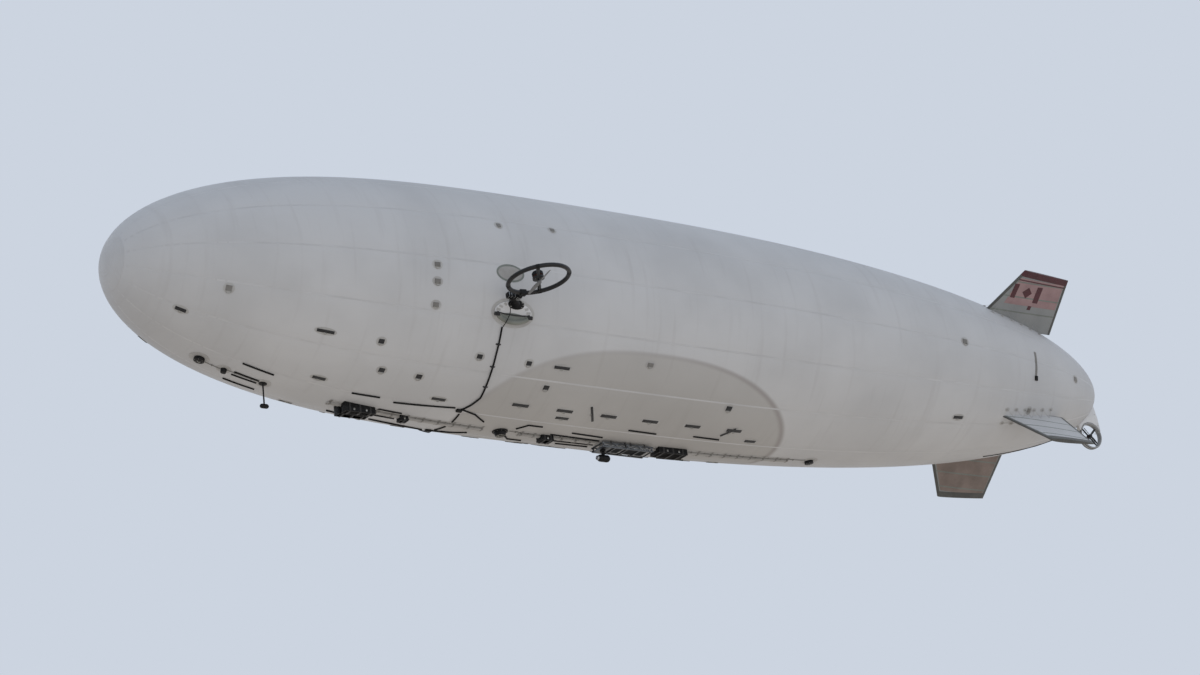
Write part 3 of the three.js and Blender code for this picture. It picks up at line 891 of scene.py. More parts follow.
    def rib_tapes(self, fin: Piece) -> Piece:
        """Lay a stitched tape over each rib on both faces."""
        tapes = []
        for i in range(1, self.ribs):
            radius = self.root_radius + i * (self.tip_radius - self.root_radius) / self.ribs + 0.06
            for side in (1, -1):
                start = (self.front(radius) - 0.03, radius, side * self.thick)
                end = (self.back(radius) + 0.02, radius, side * self.thick)
                tapes.append(strap(fin, start, end, 0.022, 0.0012, up=(0, 0, side)))
        return join(tapes)

    def lacing(self, place: str, angle: float, skin: Piece) -> None:
        """Hold a fin's root to the hull: a patch each side, toggles and a zigzag of cord."""
        toggles, patches = [], []
        aside = Vector((0, -sin(radians(angle)), cos(radians(angle))))
        for side in (1, -1):
            knots = []
            for x in (self.lacing_first - self.lacing_step * i for i in range(self.knots)):
                turn = angle + side * self.lacing_spread / self.form.at(x)
                spot = self.form.spot(x, turn)
                toggles.append(block((-0.018, -0.010, 0.0), (0.018, 0.010, 0.012), 0.004, spot))
                knots.append(self.form.point(x, turn, 0.012))
                up = self.form.point(x - self.lacing_step / 2, angle, self.lacing_reach)
                knots.append(up + aside * side * self.thick * 0.42)
                patches.append(oval(skin, spot, 0.11, 0.07, 0.0015))
            toggles.append(tube(knots[:-1], 0.002))
        dress(join(patches), f"fin_{place}_root_patches", PATCH_CLOTH)
        dress(join(toggles), f"fin_{place}_root_lacing", PALE_WEBBING)

    def build(self, skin: Piece) -> None:
        """Model one fin with its trim, and copy it to the four places.

        Args:
            skin: the envelope.
        """
        fin = self.panel()
        tip_low = self.tip_radius - self.band
        slope = (self.tip_back_radius - self.tip_radius) / (self.tip_back - self.tip_front)
        tip = self.cut(fin, (self.tip_front, tip_low, 0), (-slope, 1, 0), 0.0022)
        rake = (self.tip_front - self.root_front) / (self.tip_radius - self.root_radius)
        leading = self.cut(fin, (self.root_front - self.sleeve, self.root_radius, 0), (1, -rake, 0))
        trail = (self.tip_back - self.root_back) / (self.tip_back_radius - self.root_radius)
        trailing = self.cut(fin, (self.root_back + self.sleeve, self.root_radius, 0), (-1, trail, 0))
        kit = [(fin, "cloth", FIN_CLOTH), (tip, "tip_band", RED_CLOTH),
               (join([leading, trailing]), "edge_sleeves", EDGE_CLOTH),
               (self.rib_tapes(fin), "rib_tapes", RIB_CLOTH), *self.marks(fin)]
        for place, angle in self.angles.items():
            turned = spun(radians(angle), "X")
            lower = "lower" in place
            for piece, name, finish in kit:
                if lower and name in ("rose_panel", "tip_marks"):
                    continue
                cloth = EDGE_CLOTH if lower and name == "tip_band" else finish
                nodes = [f"fin_{place}"] if name == "cloth" else []
                dress(copy_of(piece, turned), f"fin_{place}_{name}", cloth, *nodes)
            if lower:
                self.face_panels(fin, place, turned)
            self.lacing(place, angle, skin)
        for piece, _, _ in kit:
            bpy.data.objects.remove(piece)


# Propellers


@dataclass(frozen=True)
class Blade:
    """A propeller blade along +X, as rings of a rounded section; pitch in degrees."""

    radii: tuple[float, ...]
    chords: tuple[float, ...]
    thicks: tuple[float, ...]
    pitches: tuple[float, ...]

    def build(self, hand: int = 1) -> Piece:
        """Draw the root ring and extrude it outwards, narrowing and turning at each station.

        Args:
            hand: 1 or -1, the way that the blade is pitched.

        Returns:
            One smooth closed blade.
        """
        bpy.ops.object.select_all(action="DESELECT")
        bpy.ops.mesh.primitive_circle_add(vertices=16, radius=0.5, rotation=(0, pi / 2, 0),
                                          location=(self.radii[0], 0, 0), fill_type="NGON")
        piece = settle(bpy.context.object)
        edit(piece)
        start = (self.radii[0], 0, 0)
        bpy.ops.transform.resize(value=(1, self.chords[0], self.thicks[0]), center_override=start)
        self.turn(self.pitches[0] * hand, start)
        for i in range(1, len(self.radii)):
            there = (self.radii[i], 0, 0)
            step = self.radii[i] - self.radii[i - 1]
            bpy.ops.mesh.extrude_region_move(TRANSFORM_OT_translate={"value": (step, 0, 0)})
            self.turn(-self.pitches[i - 1] * hand, there)
            wider = (1, self.chords[i] / self.chords[i - 1], self.thicks[i] / self.thicks[i - 1])
            bpy.ops.transform.resize(value=wider, center_override=there)
            self.turn(self.pitches[i] * hand, there)
        bpy.ops.mesh.select_all(action="SELECT")
        bpy.ops.mesh.normals_make_consistent(inside=False)
        return modify(close(), "SUBSURF", levels=2, render_levels=2)

    def turn(self, angle: float, centre: Point) -> None:
        """Turn the selection about X by an angle in degrees; the operator counts it backwards."""
        bpy.ops.transform.rotate(value=-radians(angle), orient_axis="X", center_override=centre)


SIDE_BLADE = Blade((0.012, 0.05, 0.13, 0.215, 0.312, 0.367, 0.3795),
                   (0.034, 0.050, 0.066, 0.060, 0.046, 0.034, 0.016),
                   (0.016, 0.014, 0.012, 0.009, 0.007, 0.005, 0.003), (34, 31, 26, 19, 14, 11, 10))
STERN_BLADE = Blade((0.010, 0.045, 0.09, 0.135, 0.172, 0.1835), (0.024, 0.032, 0.037, 0.034, 0.026, 0.014),
                    (0.009, 0.008, 0.007, 0.005, 0.004, 0.002), (40, 36, 29, 22, 17, 15))


def propeller(blade: Blade, count: int, hub: float, height: float, hand: int = 1) -> Piece:
    """Model blades about Z with a rounded hub and its nut.

    Args:
        blade: the blade's stations.
        count: how many blades.
        hub: the hub's radius.
        height: the hub's height.
        hand: 1 or -1, the way that the blades are pitched.

    Returns:
        The propeller.
    """
    first = blade.build(hand)
    others = [copy_of(first, spun(i * tau / count, "Z")) for i in range(1, count)]
    half = height / 2
    barrel = lathe([(0, -half), (hub * 0.7, -half), (hub * 0.9, -half * 0.9), (hub, -half * 0.6),
                    (hub, half * 0.7), (hub * 0.85, half), (0, half)], 40)
    nut = lathe([(0, -half - 0.008), (hub * 0.34, -half - 0.008), (hub * 0.36, -half - 0.006),
                 (hub * 0.36, -half + 0.002), (0, -half + 0.002)], 6)
    return join([first, *others, barrel, nut])


@dataclass
class SternThruster:
    """A short duct athwart the stern under a pylon, with a four-vane motor mount and a propeller."""

    form: HullForm
    place: Point = (-8.915, 0.0, -0.660)
    inner: float = 0.200
    outer: float = 0.230
    depth: float = 0.092
    pylon_bolts: tuple[tuple[float, float], ...] = (
        (-8.99, -0.10), (-9.05, -0.28), (-9.09, -0.47), (-9.08, -0.59), (-8.82, -0.60), (-8.75, -0.52))
    cable_stations: tuple[float, ...] = (-8.70, -8.55, -8.35, -8.05, -7.70, -7.30, -6.90, -6.50)

    def build(self, skin: Piece) -> None:
        """Model the duct and propeller, and ease and trim the pylon and stator."""
        across = shifted(self.place) @ spun(-pi / 2, "X")
        half = self.depth / 2
        lip = [(self.inner, -half + 0.012), (self.inner + 0.003, -half + 0.004),
               (self.inner + 0.011, -half), (self.inner + 0.020, -half + 0.002),
               (self.outer - 0.004, -half + 0.010), (self.outer, 0.0)]
        ring = [*lip, *[(radius, -height) for radius, height in reversed(lip[:-1])], lip[0]]
        dress(lathe(ring, 96, across), "stern_duct_ring", GREY_PAINT, "stern_duct", angle=60)
        bands = []
        for height in (-half * 0.55, half * 0.55):
            radius = self.outer - 0.0045
            bands.append(lathe([(radius, height - 0.006), (radius + 0.003, height - 0.005),
                                (radius + 0.003, height + 0.005), (radius, height + 0.006),
                                (radius, height - 0.006)], 96, across))
        dress(join(bands), "stern_duct_bands", BLACK_RUBBER)
        dress(eased_copy("stern_pylon", 0.004), "stern_pylon_shell", WHITE_SHELL, "stern_pylon")
        dress(eased_copy("stern_stator"), "stern_stator_vanes", BLACK_ABS, "stern_stator")
        self.pylon_trim(skin)
        self.motor(across)
        turned = shifted(self.place) @ shifted((0, 0.018, 0)) @ spun(-pi / 2, "X") @ spun(pi / 4, "Z")
        blades = settle(propeller(STERN_BLADE, count=4, hub=0.026, height=0.034), turned)
        dress(blades, "stern_propeller_blades", CARBON, "stern_propeller", body="stern_rotor", angle=50)

    def motor(self, across: Matrix) -> None:
        """Model the motor's ribbed can, with its windings showing in a slot."""
        can = [(0, -0.052), (0.020, -0.052), (0.030, -0.048), (0.0335, -0.042), (0.0335, -0.020),
               (0.031, -0.019), (0.031, -0.012), (0.0335, -0.011), (0.0335, -0.005), (0, -0.005)]
        dress(lathe(can, 48, across), "stern_motor_can", BLACK_ABS)
        coil = [(0.0295, -0.0195), (0.032, -0.0185), (0.032, -0.0125), (0.0295, -0.0115),
                (0.0295, -0.0195)]
        dress(lathe(coil, 36, across), "stern_motor_windings", COPPER)

    def pylon_trim(self, skin: Piece) -> None:
        """Bolt the pylon's halves together and run its cable forward on the skin."""
        bolts = []
        dome = [(0, 0), (0.0085, 0), (0.0085, 0.003), (0.005, 0.0045), (0, 0.0045)]
        for x, z in self.pylon_bolts:
            for side in (1, -1):
                bolts.append(lathe(dome, 12, shifted((x, side * 0.041, z)) @ spun(-side * pi / 2, "X")))
        dress(join(bolts), "stern_pylon_bolts", ZINC_STEEL)
        cable = [self.form.point(x, -90, 0.006) for x in self.cable_stations]
        clips = [strap(skin, self.form.point(x, -94), self.form.point(x, -86), 0.03, 0.003, up=(0, 0, -1))
                 for x in (-8.35, -7.70, -6.90)]
        dress(tube(cable, 0.007), "stern_cable", BLACK_RUBBER)
        dress(join(clips), "stern_cable_tapes", SEAM_TAPE)


# Side thrusters


def blocks_round(count: int, low: Point, high: Point, edge: float, lean: float = 0.0) -> list[Piece]:
    """Set blocks evenly round Z, each first leaned about X by an angle in degrees."""
    return [block(low, high, edge, spun(i * tau / count, "Z") @ spun(radians(lean), "X"))
            for i in range(count)]


def bolt(radius: float, height: float) -> Piece:
    """Model a cap screw's head standing on Z = 0, its socket sunk in."""
    return lathe([(0, 0), (radius, 0), (radius, height * 0.8), (radius * 0.85, height),
                  (radius * 0.5, height), (radius * 0.45, height * 0.5), (0, height * 0.5)], 12)


def bolt_ring(count: int, ring: float, size: float, place: Matrix, first: float = 0.0) -> Piece:
    """Set screws evenly round a circle in a place's XY plane."""
    head = bolt(size, size * 0.8)
    around = [place @ spun(first + i * tau / count, "Z") @ shifted((ring, 0, 0))
              for i in range(count)]
    copies = [copy_of(head, spot) for spot in around]
    bpy.data.objects.remove(head)
    return join(copies)


@dataclass
class SideThruster:
    """One side's thruster: pad, foot, tilt drive, guard ring, motor and propeller, modelled to port."""

    form: HullForm
    tilt_x: float = 3.465
    tilt_z: float = -0.440
    ring_y: float = 2.420
    ring_radius: float = 0.440
    ring_tube: float = 0.032
    cant: float = 5.6
    rest_tilt: float = 5.0
    spar_turn: float = 34.0
    spar_tube: float = 0.022
    motor_radius: float = 0.080
    can_ribs: int = 12
    coils: int = 20
    propeller_drop: float = 0.050
    blade_turn: float = 82.0
    housing_start: float = 1.822
    housing_end: float = 1.902
    head_ahead: float = 0.125
    pad_x: float = 3.450
    pad_angle: float = -22.0
    pad_long: float = 0.305
    pad_tall: float = 0.165
    pad_thick: float = 0.014
    roll_long: float = 0.268
    roll_tall: float = 0.132
    roll_radius: float = 0.032
    roll_from: float = 188.0
    roll_sweep: float = 164.0
    fingers: int = 16
    foot_x: float = 3.420
    foot_angle: float = -18.0
    foot_long: float = 0.130
    foot_tall: float = 0.072
    gaiter_folds: int = 4
    gaiter_radius: float = 0.067
    cable_radius: float = 0.013
    cable_stops: tuple[tuple[float, float], ...] = (
        (3.600, -28.8), (3.590, -41.0), (3.565, -52.0), (3.530, -65.5), (3.600, -71.0), (3.690, -75.4))
    tape_angles: tuple[float, ...] = (-37, -48, -59)
    pieces: list = field(default_factory=list)

    def add(self, piece: Piece, name: str, finish: Finish, node: str = "", body: str = "airframe") -> None:
        """Keep a port piece with its name, finish, node and body, to be dressed on both sides."""
        self.pieces.append((piece, name, finish, node, body))

    def build(self, skin: Piece) -> None:
        """Model the port thruster and mirror it to starboard.

        Args:
            skin: the envelope.
        """
        self.pad(skin)
        for step in (self.foot, self.drive, self.ring, self.spar, self.motor, self.blades, self.cable):
            step()
        for piece, name, finish, node, body in self.pieces:
            for side in Side:
                made = copy_of(piece) if side is Side.PORT else mirrored(piece)
                rides = body if body == "airframe" else f"{side.label}_{body}"
                nodes = [f"{side.label}_{node}"] if node else []
                dress(made, f"{side.label}_{name}", finish, *nodes, body=rides)
            bpy.data.objects.remove(piece)

    def canted(self) -> Matrix:
        """Give the frame at the ring's middle whose Y is the canted tilt axis."""
        return shifted((self.tilt_x, self.ring_y, self.tilt_z)) @ spun(radians(self.cant), "X")

    def tilted(self) -> Matrix:
        """Give the tilting frame at rest: its Z is the propeller's axis."""
        return self.canted() @ spun(radians(self.rest_tilt), "Y")

    def on_pad(self, turn: float, sag: float, out: float) -> Vector:
        """Place a point by its turn round the roll's oval, flattened to a sag from 0 to 1."""
        drop = degrees(sag * self.roll_tall * sin(turn) / self.form.at(self.pad_x))
        return self.form.point(self.pad_x + self.roll_long * cos(turn), self.pad_angle + drop, out)

    def pad(self, skin: Piece) -> None:
        """Model the stiff oval pad with its fingers, the roll round its lower half and its trim; the
        roll's dark grey-green, the black piping and a dark oval on the disc's lower part are painted
        shade.
        """
        spot = self.form.spot(self.pad_x, self.pad_angle)
        long, tall = 2 * self.pad_long, 2 * self.pad_tall
        disc = eased(oval(skin, spot, long, tall, self.pad_thick), 0.005, 3)
        fingers = []
        for i in range(self.fingers):
            turn = (i + 0.5) * tau / self.fingers
            near, far = (spot @ Vector((share * long * cos(turn), share * tall * sin(turn), 0.03))
                         for share in (0.36, 0.475))
            fingers.append(strap(disc, near, far, 0.034, 0.0015, up=spot.col[2].xyz))
        self.add(join(fingers), "pad_fingers", PATCH_CLOTH)
        # Painted shade: the roll is modelled, but its dark colour, the black piping across the lower half
        # and the dark oval below stand for shade
        turns = [radians(self.roll_from + self.roll_sweep * i / 40) for i in range(41)]
        roll = [self.on_pad(turn, 1.0, self.pad_thick + 0.006) for turn in turns]
        self.add(tube(roll, self.roll_radius, sides=7), "pad_lower_roll", ROLL_CLOTH_PAINTED_SHADE)
        piping = [self.on_pad(turn, 0.22, self.pad_thick + 0.008) for turn in turns]
        trim = [tube(piping, 0.010)]
        for end in (1, -1):
            place = self.form.spot(self.pad_x + end * self.roll_long, self.pad_angle - 1.2)
            trim.append(block((-0.038, -0.028, 0.0), (0.038, 0.028, self.pad_thick + 0.044), 0.010, place))
        self.add(join(trim), "pad_piping", BLACK_WEBBING)
        lower = self.form.spot(self.pad_x, self.pad_angle - 2.4) @ shifted((0, 0, 0.03))
        self.add(oval(disc, lower, 0.50, 0.150, 0.006), "pad_lower_face_painted_shade", RIB_CLOTH)
        self.add(oval(skin, spot, long + 0.10, tall + 0.10, 0.0025), "pad_skirt", PATCH_CLOTH)
        self.add(disc, "pad_disc", WHITE_SHELL, "thruster_pad")
        cloth = self.form.spot(3.51, -3.7)
        self.add(oval(skin, cloth, 0.46, 0.27, 0.0016), "pad_upper_rim", RIB_CLOTH)
        self.add(oval(skin, cloth, 0.40, 0.21, 0.0026), "pad_upper_patch", PALE_WEBBING)

    def foot(self) -> None:
        """Model the bolted oval foot plate, the ribbed gaiter and the post that leans forward."""
        spot = self.form.spot(self.foot_x, self.foot_angle)
        deck = self.pad_thick
        wide = self.foot_tall
        stretched = spot @ Matrix.Diagonal((self.foot_long / wide, 1, 1, 1))
        plate = [(0, deck - 0.003), (wide, deck - 0.003), (wide, deck + 0.011),
                 (wide - 0.004, deck + 0.016), (wide - 0.010, deck + 0.016), (0, deck + 0.016)]
        gaiter = [(0, deck + 0.012), (self.gaiter_radius, deck + 0.012)]
        for i in range(self.gaiter_folds):
            rise = deck + 0.016 + 0.009 * i
            edge = self.gaiter_radius - 0.004 * i
            gaiter += [(edge, rise), (edge - 0.001, rise + 0.004), (edge - 0.007, rise + 0.0062)]
        gaiter += [(0.050, deck + 0.052), (0, deck + 0.052)]
        athwart = (self.housing_start + self.housing_end) / 2 - self.ring_y
        head = self.canted() @ Vector((self.head_ahead, athwart, 0))
        root = self.form.point(self.foot_x, self.foot_angle, deck + 0.02)
        length = (head - root).length - 0.030
        post = [(0, 0), (0.050, 0), (0.045, length * 0.42), (0.049, length * 0.44), (0.048, length * 0.58),
                (0.042, length * 0.60), (0.036, length - 0.016), (0.040, length - 0.004), (0.034, length),
                (0, length)]
        arm = join([lathe(plate, 64, stretched), lathe(post, 40, root_frame(root, head))])
        self.add(arm, "foot_and_post", BLACK_ABS, "thruster_arm")
        self.add(lathe(gaiter, 48, spot), "foot_gaiter", BLACK_RUBBER)
        places = [(0.108, 0), (-0.108, 0)] + [(x, y) for y in (0.036, -0.036) for x in (0.090, -0.090)]
        screws = [settle(bolt(0.0075, 0.006), spot @ shifted((x, y, deck + 0.0155))) for x, y in places]
        self.add(join(screws), "foot_bolts", ZINC_STEEL)
        lead = [self.cable_at(-29.4, 0.016), self.form.point(3.59, -27.4, 0.056),
                self.form.point(3.56, -25.0, 0.066), self.form.point(3.53, -21.5, 0.062),
                head + Vector((0.012, -0.020, -0.075)), head + Vector((0.006, 0.0, -0.030))]
        self.add(tube(curved(lead), 0.006), "drive_lead", BLACK_RUBBER)

    def drive(self) -> None:
        """Ease the tilt drive and its hub, and add the drive's flanges, cover lines and screws."""
        across = self.canted() @ spun(-pi / 2, "X") @ shifted((0, 0, -self.ring_y))
        self.add(eased_copy("port_tilt_housing"), "tilt_drive", BLACK_ABS, "tilt_housing")
        ribs = []
        for y in (self.housing_start + 0.014, self.housing_start + 0.038, self.housing_end - 0.012):
            low, high = y - 0.004, y + 0.004
            ribs.append(lathe([(0.046, low), (0.052, low), (0.0535, y), (0.052, high), (0.046, high),
                               (0.046, low)], 56, across))
        self.add(join(ribs), "tilt_drive_flanges", ALUMINIUM)
        lines = [block((x, self.housing_start - self.ring_y - 0.0012, -0.0372),
                       (x + 0.006, self.housing_end - self.ring_y + 0.0012, 0.0372), 0.001, self.canted())
                 for x in (0.072, 0.128, 0.168)]
        self.add(join(lines), "tilt_drive_bands", ALUMINIUM)
        face = across @ shifted((0, 0, self.housing_end - 0.001))
        self.add(bolt_ring(6, 0.036, 0.004, face, pi / 6), "tilt_drive_screws", ZINC_STEEL)
        self.add(eased_copy("port_tilt_hub"), "tilt_hub_clamp", BLACK_ABS, "tilt_hub", "thruster")
        grip = self.tilted() @ shifted((0, -self.ring_radius, 0.0375))
        screws = [settle(bolt(0.0065, 0.005), grip @ shifted((x, y, 0)))
                  for x in (-0.038, 0.038) for y in (-0.024, 0.020)]
        self.add(join(screws), "tilt_hub_screws", ZINC_STEEL, body="thruster")

    def ring(self) -> None:
        """Model the guard ring with ferrules where its four arcs meet."""
        bpy.ops.object.select_all(action="DESELECT")
        bpy.ops.mesh.primitive_torus_add(major_segments=144, minor_segments=20,
                                         major_radius=self.ring_radius, minor_radius=self.ring_tube)
        ring = bpy.context.object
        ferrules = []
        spar = pi / 2 - radians(self.spar_turn)
        for start in (spar, spar + pi, spar + pi / 2, spar + 3 * pi / 2):
            arc = [start + radians(i - 3) for i in range(7)]
            points = [(self.ring_radius * cos(turn), self.ring_radius * sin(turn), 0) for turn in arc]
            ferrules.append(tube(points, self.ring_tube + 0.0022, sides=7))
        self.add(settle(ring, self.tilted()), "guard_ring_tube", CARBON, "guard_ring", "thruster")
        self.add(settle(join(ferrules), self.tilted()), "guard_ring_ferrules", BLACK_ABS, body="thruster")

    def spar(self) -> None:
        """Model the spar across the ring with its motor plate, end clamps and the motor's leads."""
        place = self.tilted() @ spun(-radians(self.spar_turn), "Z")
        reach = self.ring_radius - self.ring_tube - 0.001
        bar = tube([(0, -reach, 0), (0, -0.08, 0), (0, 0.08, 0), (0, reach, 0)], self.spar_tube, sides=7)
        plate = lathe([(0, -0.008), (0.080, -0.008), (0.086, -0.004), (0.086, 0.019), (0.083, 0.023),
                       (0, 0.023)], 64)
        self.add(settle(join([bar, plate]), place), "motor_spar_tube", CARBON, "motor_spar", "thruster")
        clamps = []
        for end in (1, -1):
            near = end * (reach - 0.050)
            far = end * (reach - 0.002)
            low, high = min(near, far), max(near, far)
            clamps.append(block((-0.027, low, -0.025), (0.027, high, 0.025), 0.006))
            clamps.append(block((-0.031, low + 0.012, -0.005), (0.031, high - 0.012, 0.005), 0.0015))
        self.add(settle(join(clamps), place), "spar_clamps", BLACK_ABS, body="thruster")
        under = place @ shifted((0, 0, -0.008)) @ spun(pi, "X")
        screws = bolt_ring(4, 0.062, 0.0055, under, pi / 4)
        self.add(screws, "motor_plate_screws", ZINC_STEEL, body="thruster")
        leads = []
        for offset in (-0.007, 0.0, 0.007):
            stops = ((-0.10, 0.0245), (-0.20, 0.0240), (-0.30, 0.0240), (-0.372, 0.0250))
            leads.append(tube([(offset, y, z) for y, z in stops], 0.0032))
        ties = [block((-0.0235, -0.135 - step, -0.0232), (0.0235, -0.128 - step, 0.0285), 0.0015)
                for step in (0.0, 0.10, 0.20)]
        self.add(settle(join([*leads, *ties]), place), "motor_leads", BLACK_RUBBER, body="thruster")

    def motor(self) -> None:
        """Model the motor: a base, a belt of copper windings in a gap and a domed, slotted can."""
        wide = self.motor_radius
        base = [(0, 0.0236), (wide - 0.001, 0.0236), (wide, 0.025), (wide, 0.034), (wide - 0.004, 0.036),
                (0, 0.036)]
        can = [(0, 0.049), (wide - 0.004, 0.049), (wide, 0.051), (wide, 0.0925), (wide - 0.003, 0.0985),
               (wide - 0.012, 0.110), (wide - 0.027, 0.118), (0.032, 0.1220), (0.020, 0.1220),
               (0.018, 0.1232), (0, 0.1232)]
        shell = join([lathe(base, 64), lathe(can, 64)])
        ribs = blocks_round(self.can_ribs, (wide - 0.0025, -0.0022, 0.055), (wide + 0.0018, 0.0022, 0.092),
                            0.0008)
        self.add(settle(join([shell, *ribs]), self.tilted()), "motor_can", BLACK_ABS, "motor", "thruster")
        coils = blocks_round(self.coils, (wide - 0.022, -0.0085, 0.0352), (wide - 0.007, 0.0085, 0.0498),
                             0.0030)
        self.add(settle(join(coils), self.tilted()), "motor_windings", COPPER, body="thruster")

    def blades(self) -> None:
        """Model the two-blade propeller below the spar."""
        made = propeller(SIDE_BLADE, count=2, hub=0.030, height=0.034)
        shaft = lathe([(0, 0), (0.009, 0), (0.009, 0.0255), (0, 0.0255)], 24)
        turned = shifted((0, 0, -self.propeller_drop)) @ spun(radians(self.blade_turn), "Z")
        place = self.tilted() @ turned
        self.add(settle(join([made, shaft]), place), "propeller_blades", BLADE_NYLON, "propeller", "rotor")
        under = place @ shifted((0, 0, -0.0165)) @ spun(pi, "X")
        self.add(bolt_ring(4, 0.020, 0.0035, under, pi / 4), "propeller_screws", ZINC_STEEL, body="rotor")

    def cable_at(self, angle: float, out: float) -> Vector:
        """Place a point on the power cable's route by its angle, in degrees from port."""
        ends = next((above, below) for above, below in zip(self.cable_stops, self.cable_stops[1:])
                    if below[1] <= angle)
        (x0, a0), (x1, a1) = ends
        return self.form.point(x0 + (x1 - x0) * (angle - a0) / (a1 - a0), angle, out)

    def cable(self) -> None:
        """Run the sleeved power cable down the skin under cloth tapes to its junction on the belly."""
        first = self.cable_stops[0][1]
        last = self.cable_stops[-1][1]
        rise = 0.00035 + self.cable_radius
        points = [self.cable_at(first + (last - first) * i / 48, rise) for i in range(49)]
        self.add(tube(points, self.cable_radius), "power_cable_sleeve", BLACK_RUBBER, "power_cable")
        junction = block((-0.045, -0.030, 0.0), (0.045, 0.030, 0.034), 0.008, self.form.spot(3.715, -75.9))
        self.add(junction, "power_junction", BLACK_ABS)
        tapes = []
        arch = [(-0.045, 0.0005), (-0.020, 0.006), (-0.014, 0.024), (0.0, 0.0295), (0.014, 0.024),
                (0.020, 0.006), (0.045, 0.0005)]
        for angle in self.tape_angles:
            spot = self.form.spot(self.cable_at(angle, 0).x, angle)
            band = chain([(x, -0.013, z) for x, z in arch])
            edit(band)
            bpy.ops.mesh.extrude_region_move(TRANSFORM_OT_translate={"value": (0, 0.026, 0)})
            close()
            modify(band, "SUBSURF", levels=2, render_levels=2)
            tapes.append(settle(modify(band, "SOLIDIFY", thickness=0.0015, offset=0), spot))
        self.add(join(tapes), "power_cable_tapes", BLACK_WEBBING)


def root_frame(root: Vector, head: Vector) -> Matrix:
    """Give the frame at a root whose Z points to a head."""
    return shifted(root) @ (head - root).to_track_quat("Z", "Y").to_matrix().to_4x4()


def curved(points: Sequence[Vector], steps: int = 8) -> list[Vector]:
    """Round off a route: points along a smooth curve through the given ones."""
    padded = [points[0] * 2 - points[1], *points, points[-1] * 2 - points[-2]]
    way = []
    for a, b, c, d in zip(padded, padded[1:], padded[2:], padded[3:]):
        for i in range(steps):
            t = i / steps
            way.append(((2 * b) + (c - a) * t + (2 * a - 5 * b + 4 * c - d) * t ** 2
                        + (3 * b - a - 3 * c + d) * t ** 3) / 2)
    return [*way, points[-1]]


# Skin patches and lines


@dataclass(frozen=True)
class Tab:
    """A webbing load tab on a bonded patch: its station, angle from port, size and turn in degrees."""

    station: float
    angle: float
    long: float
    wide: float
    turn: float = 0.0


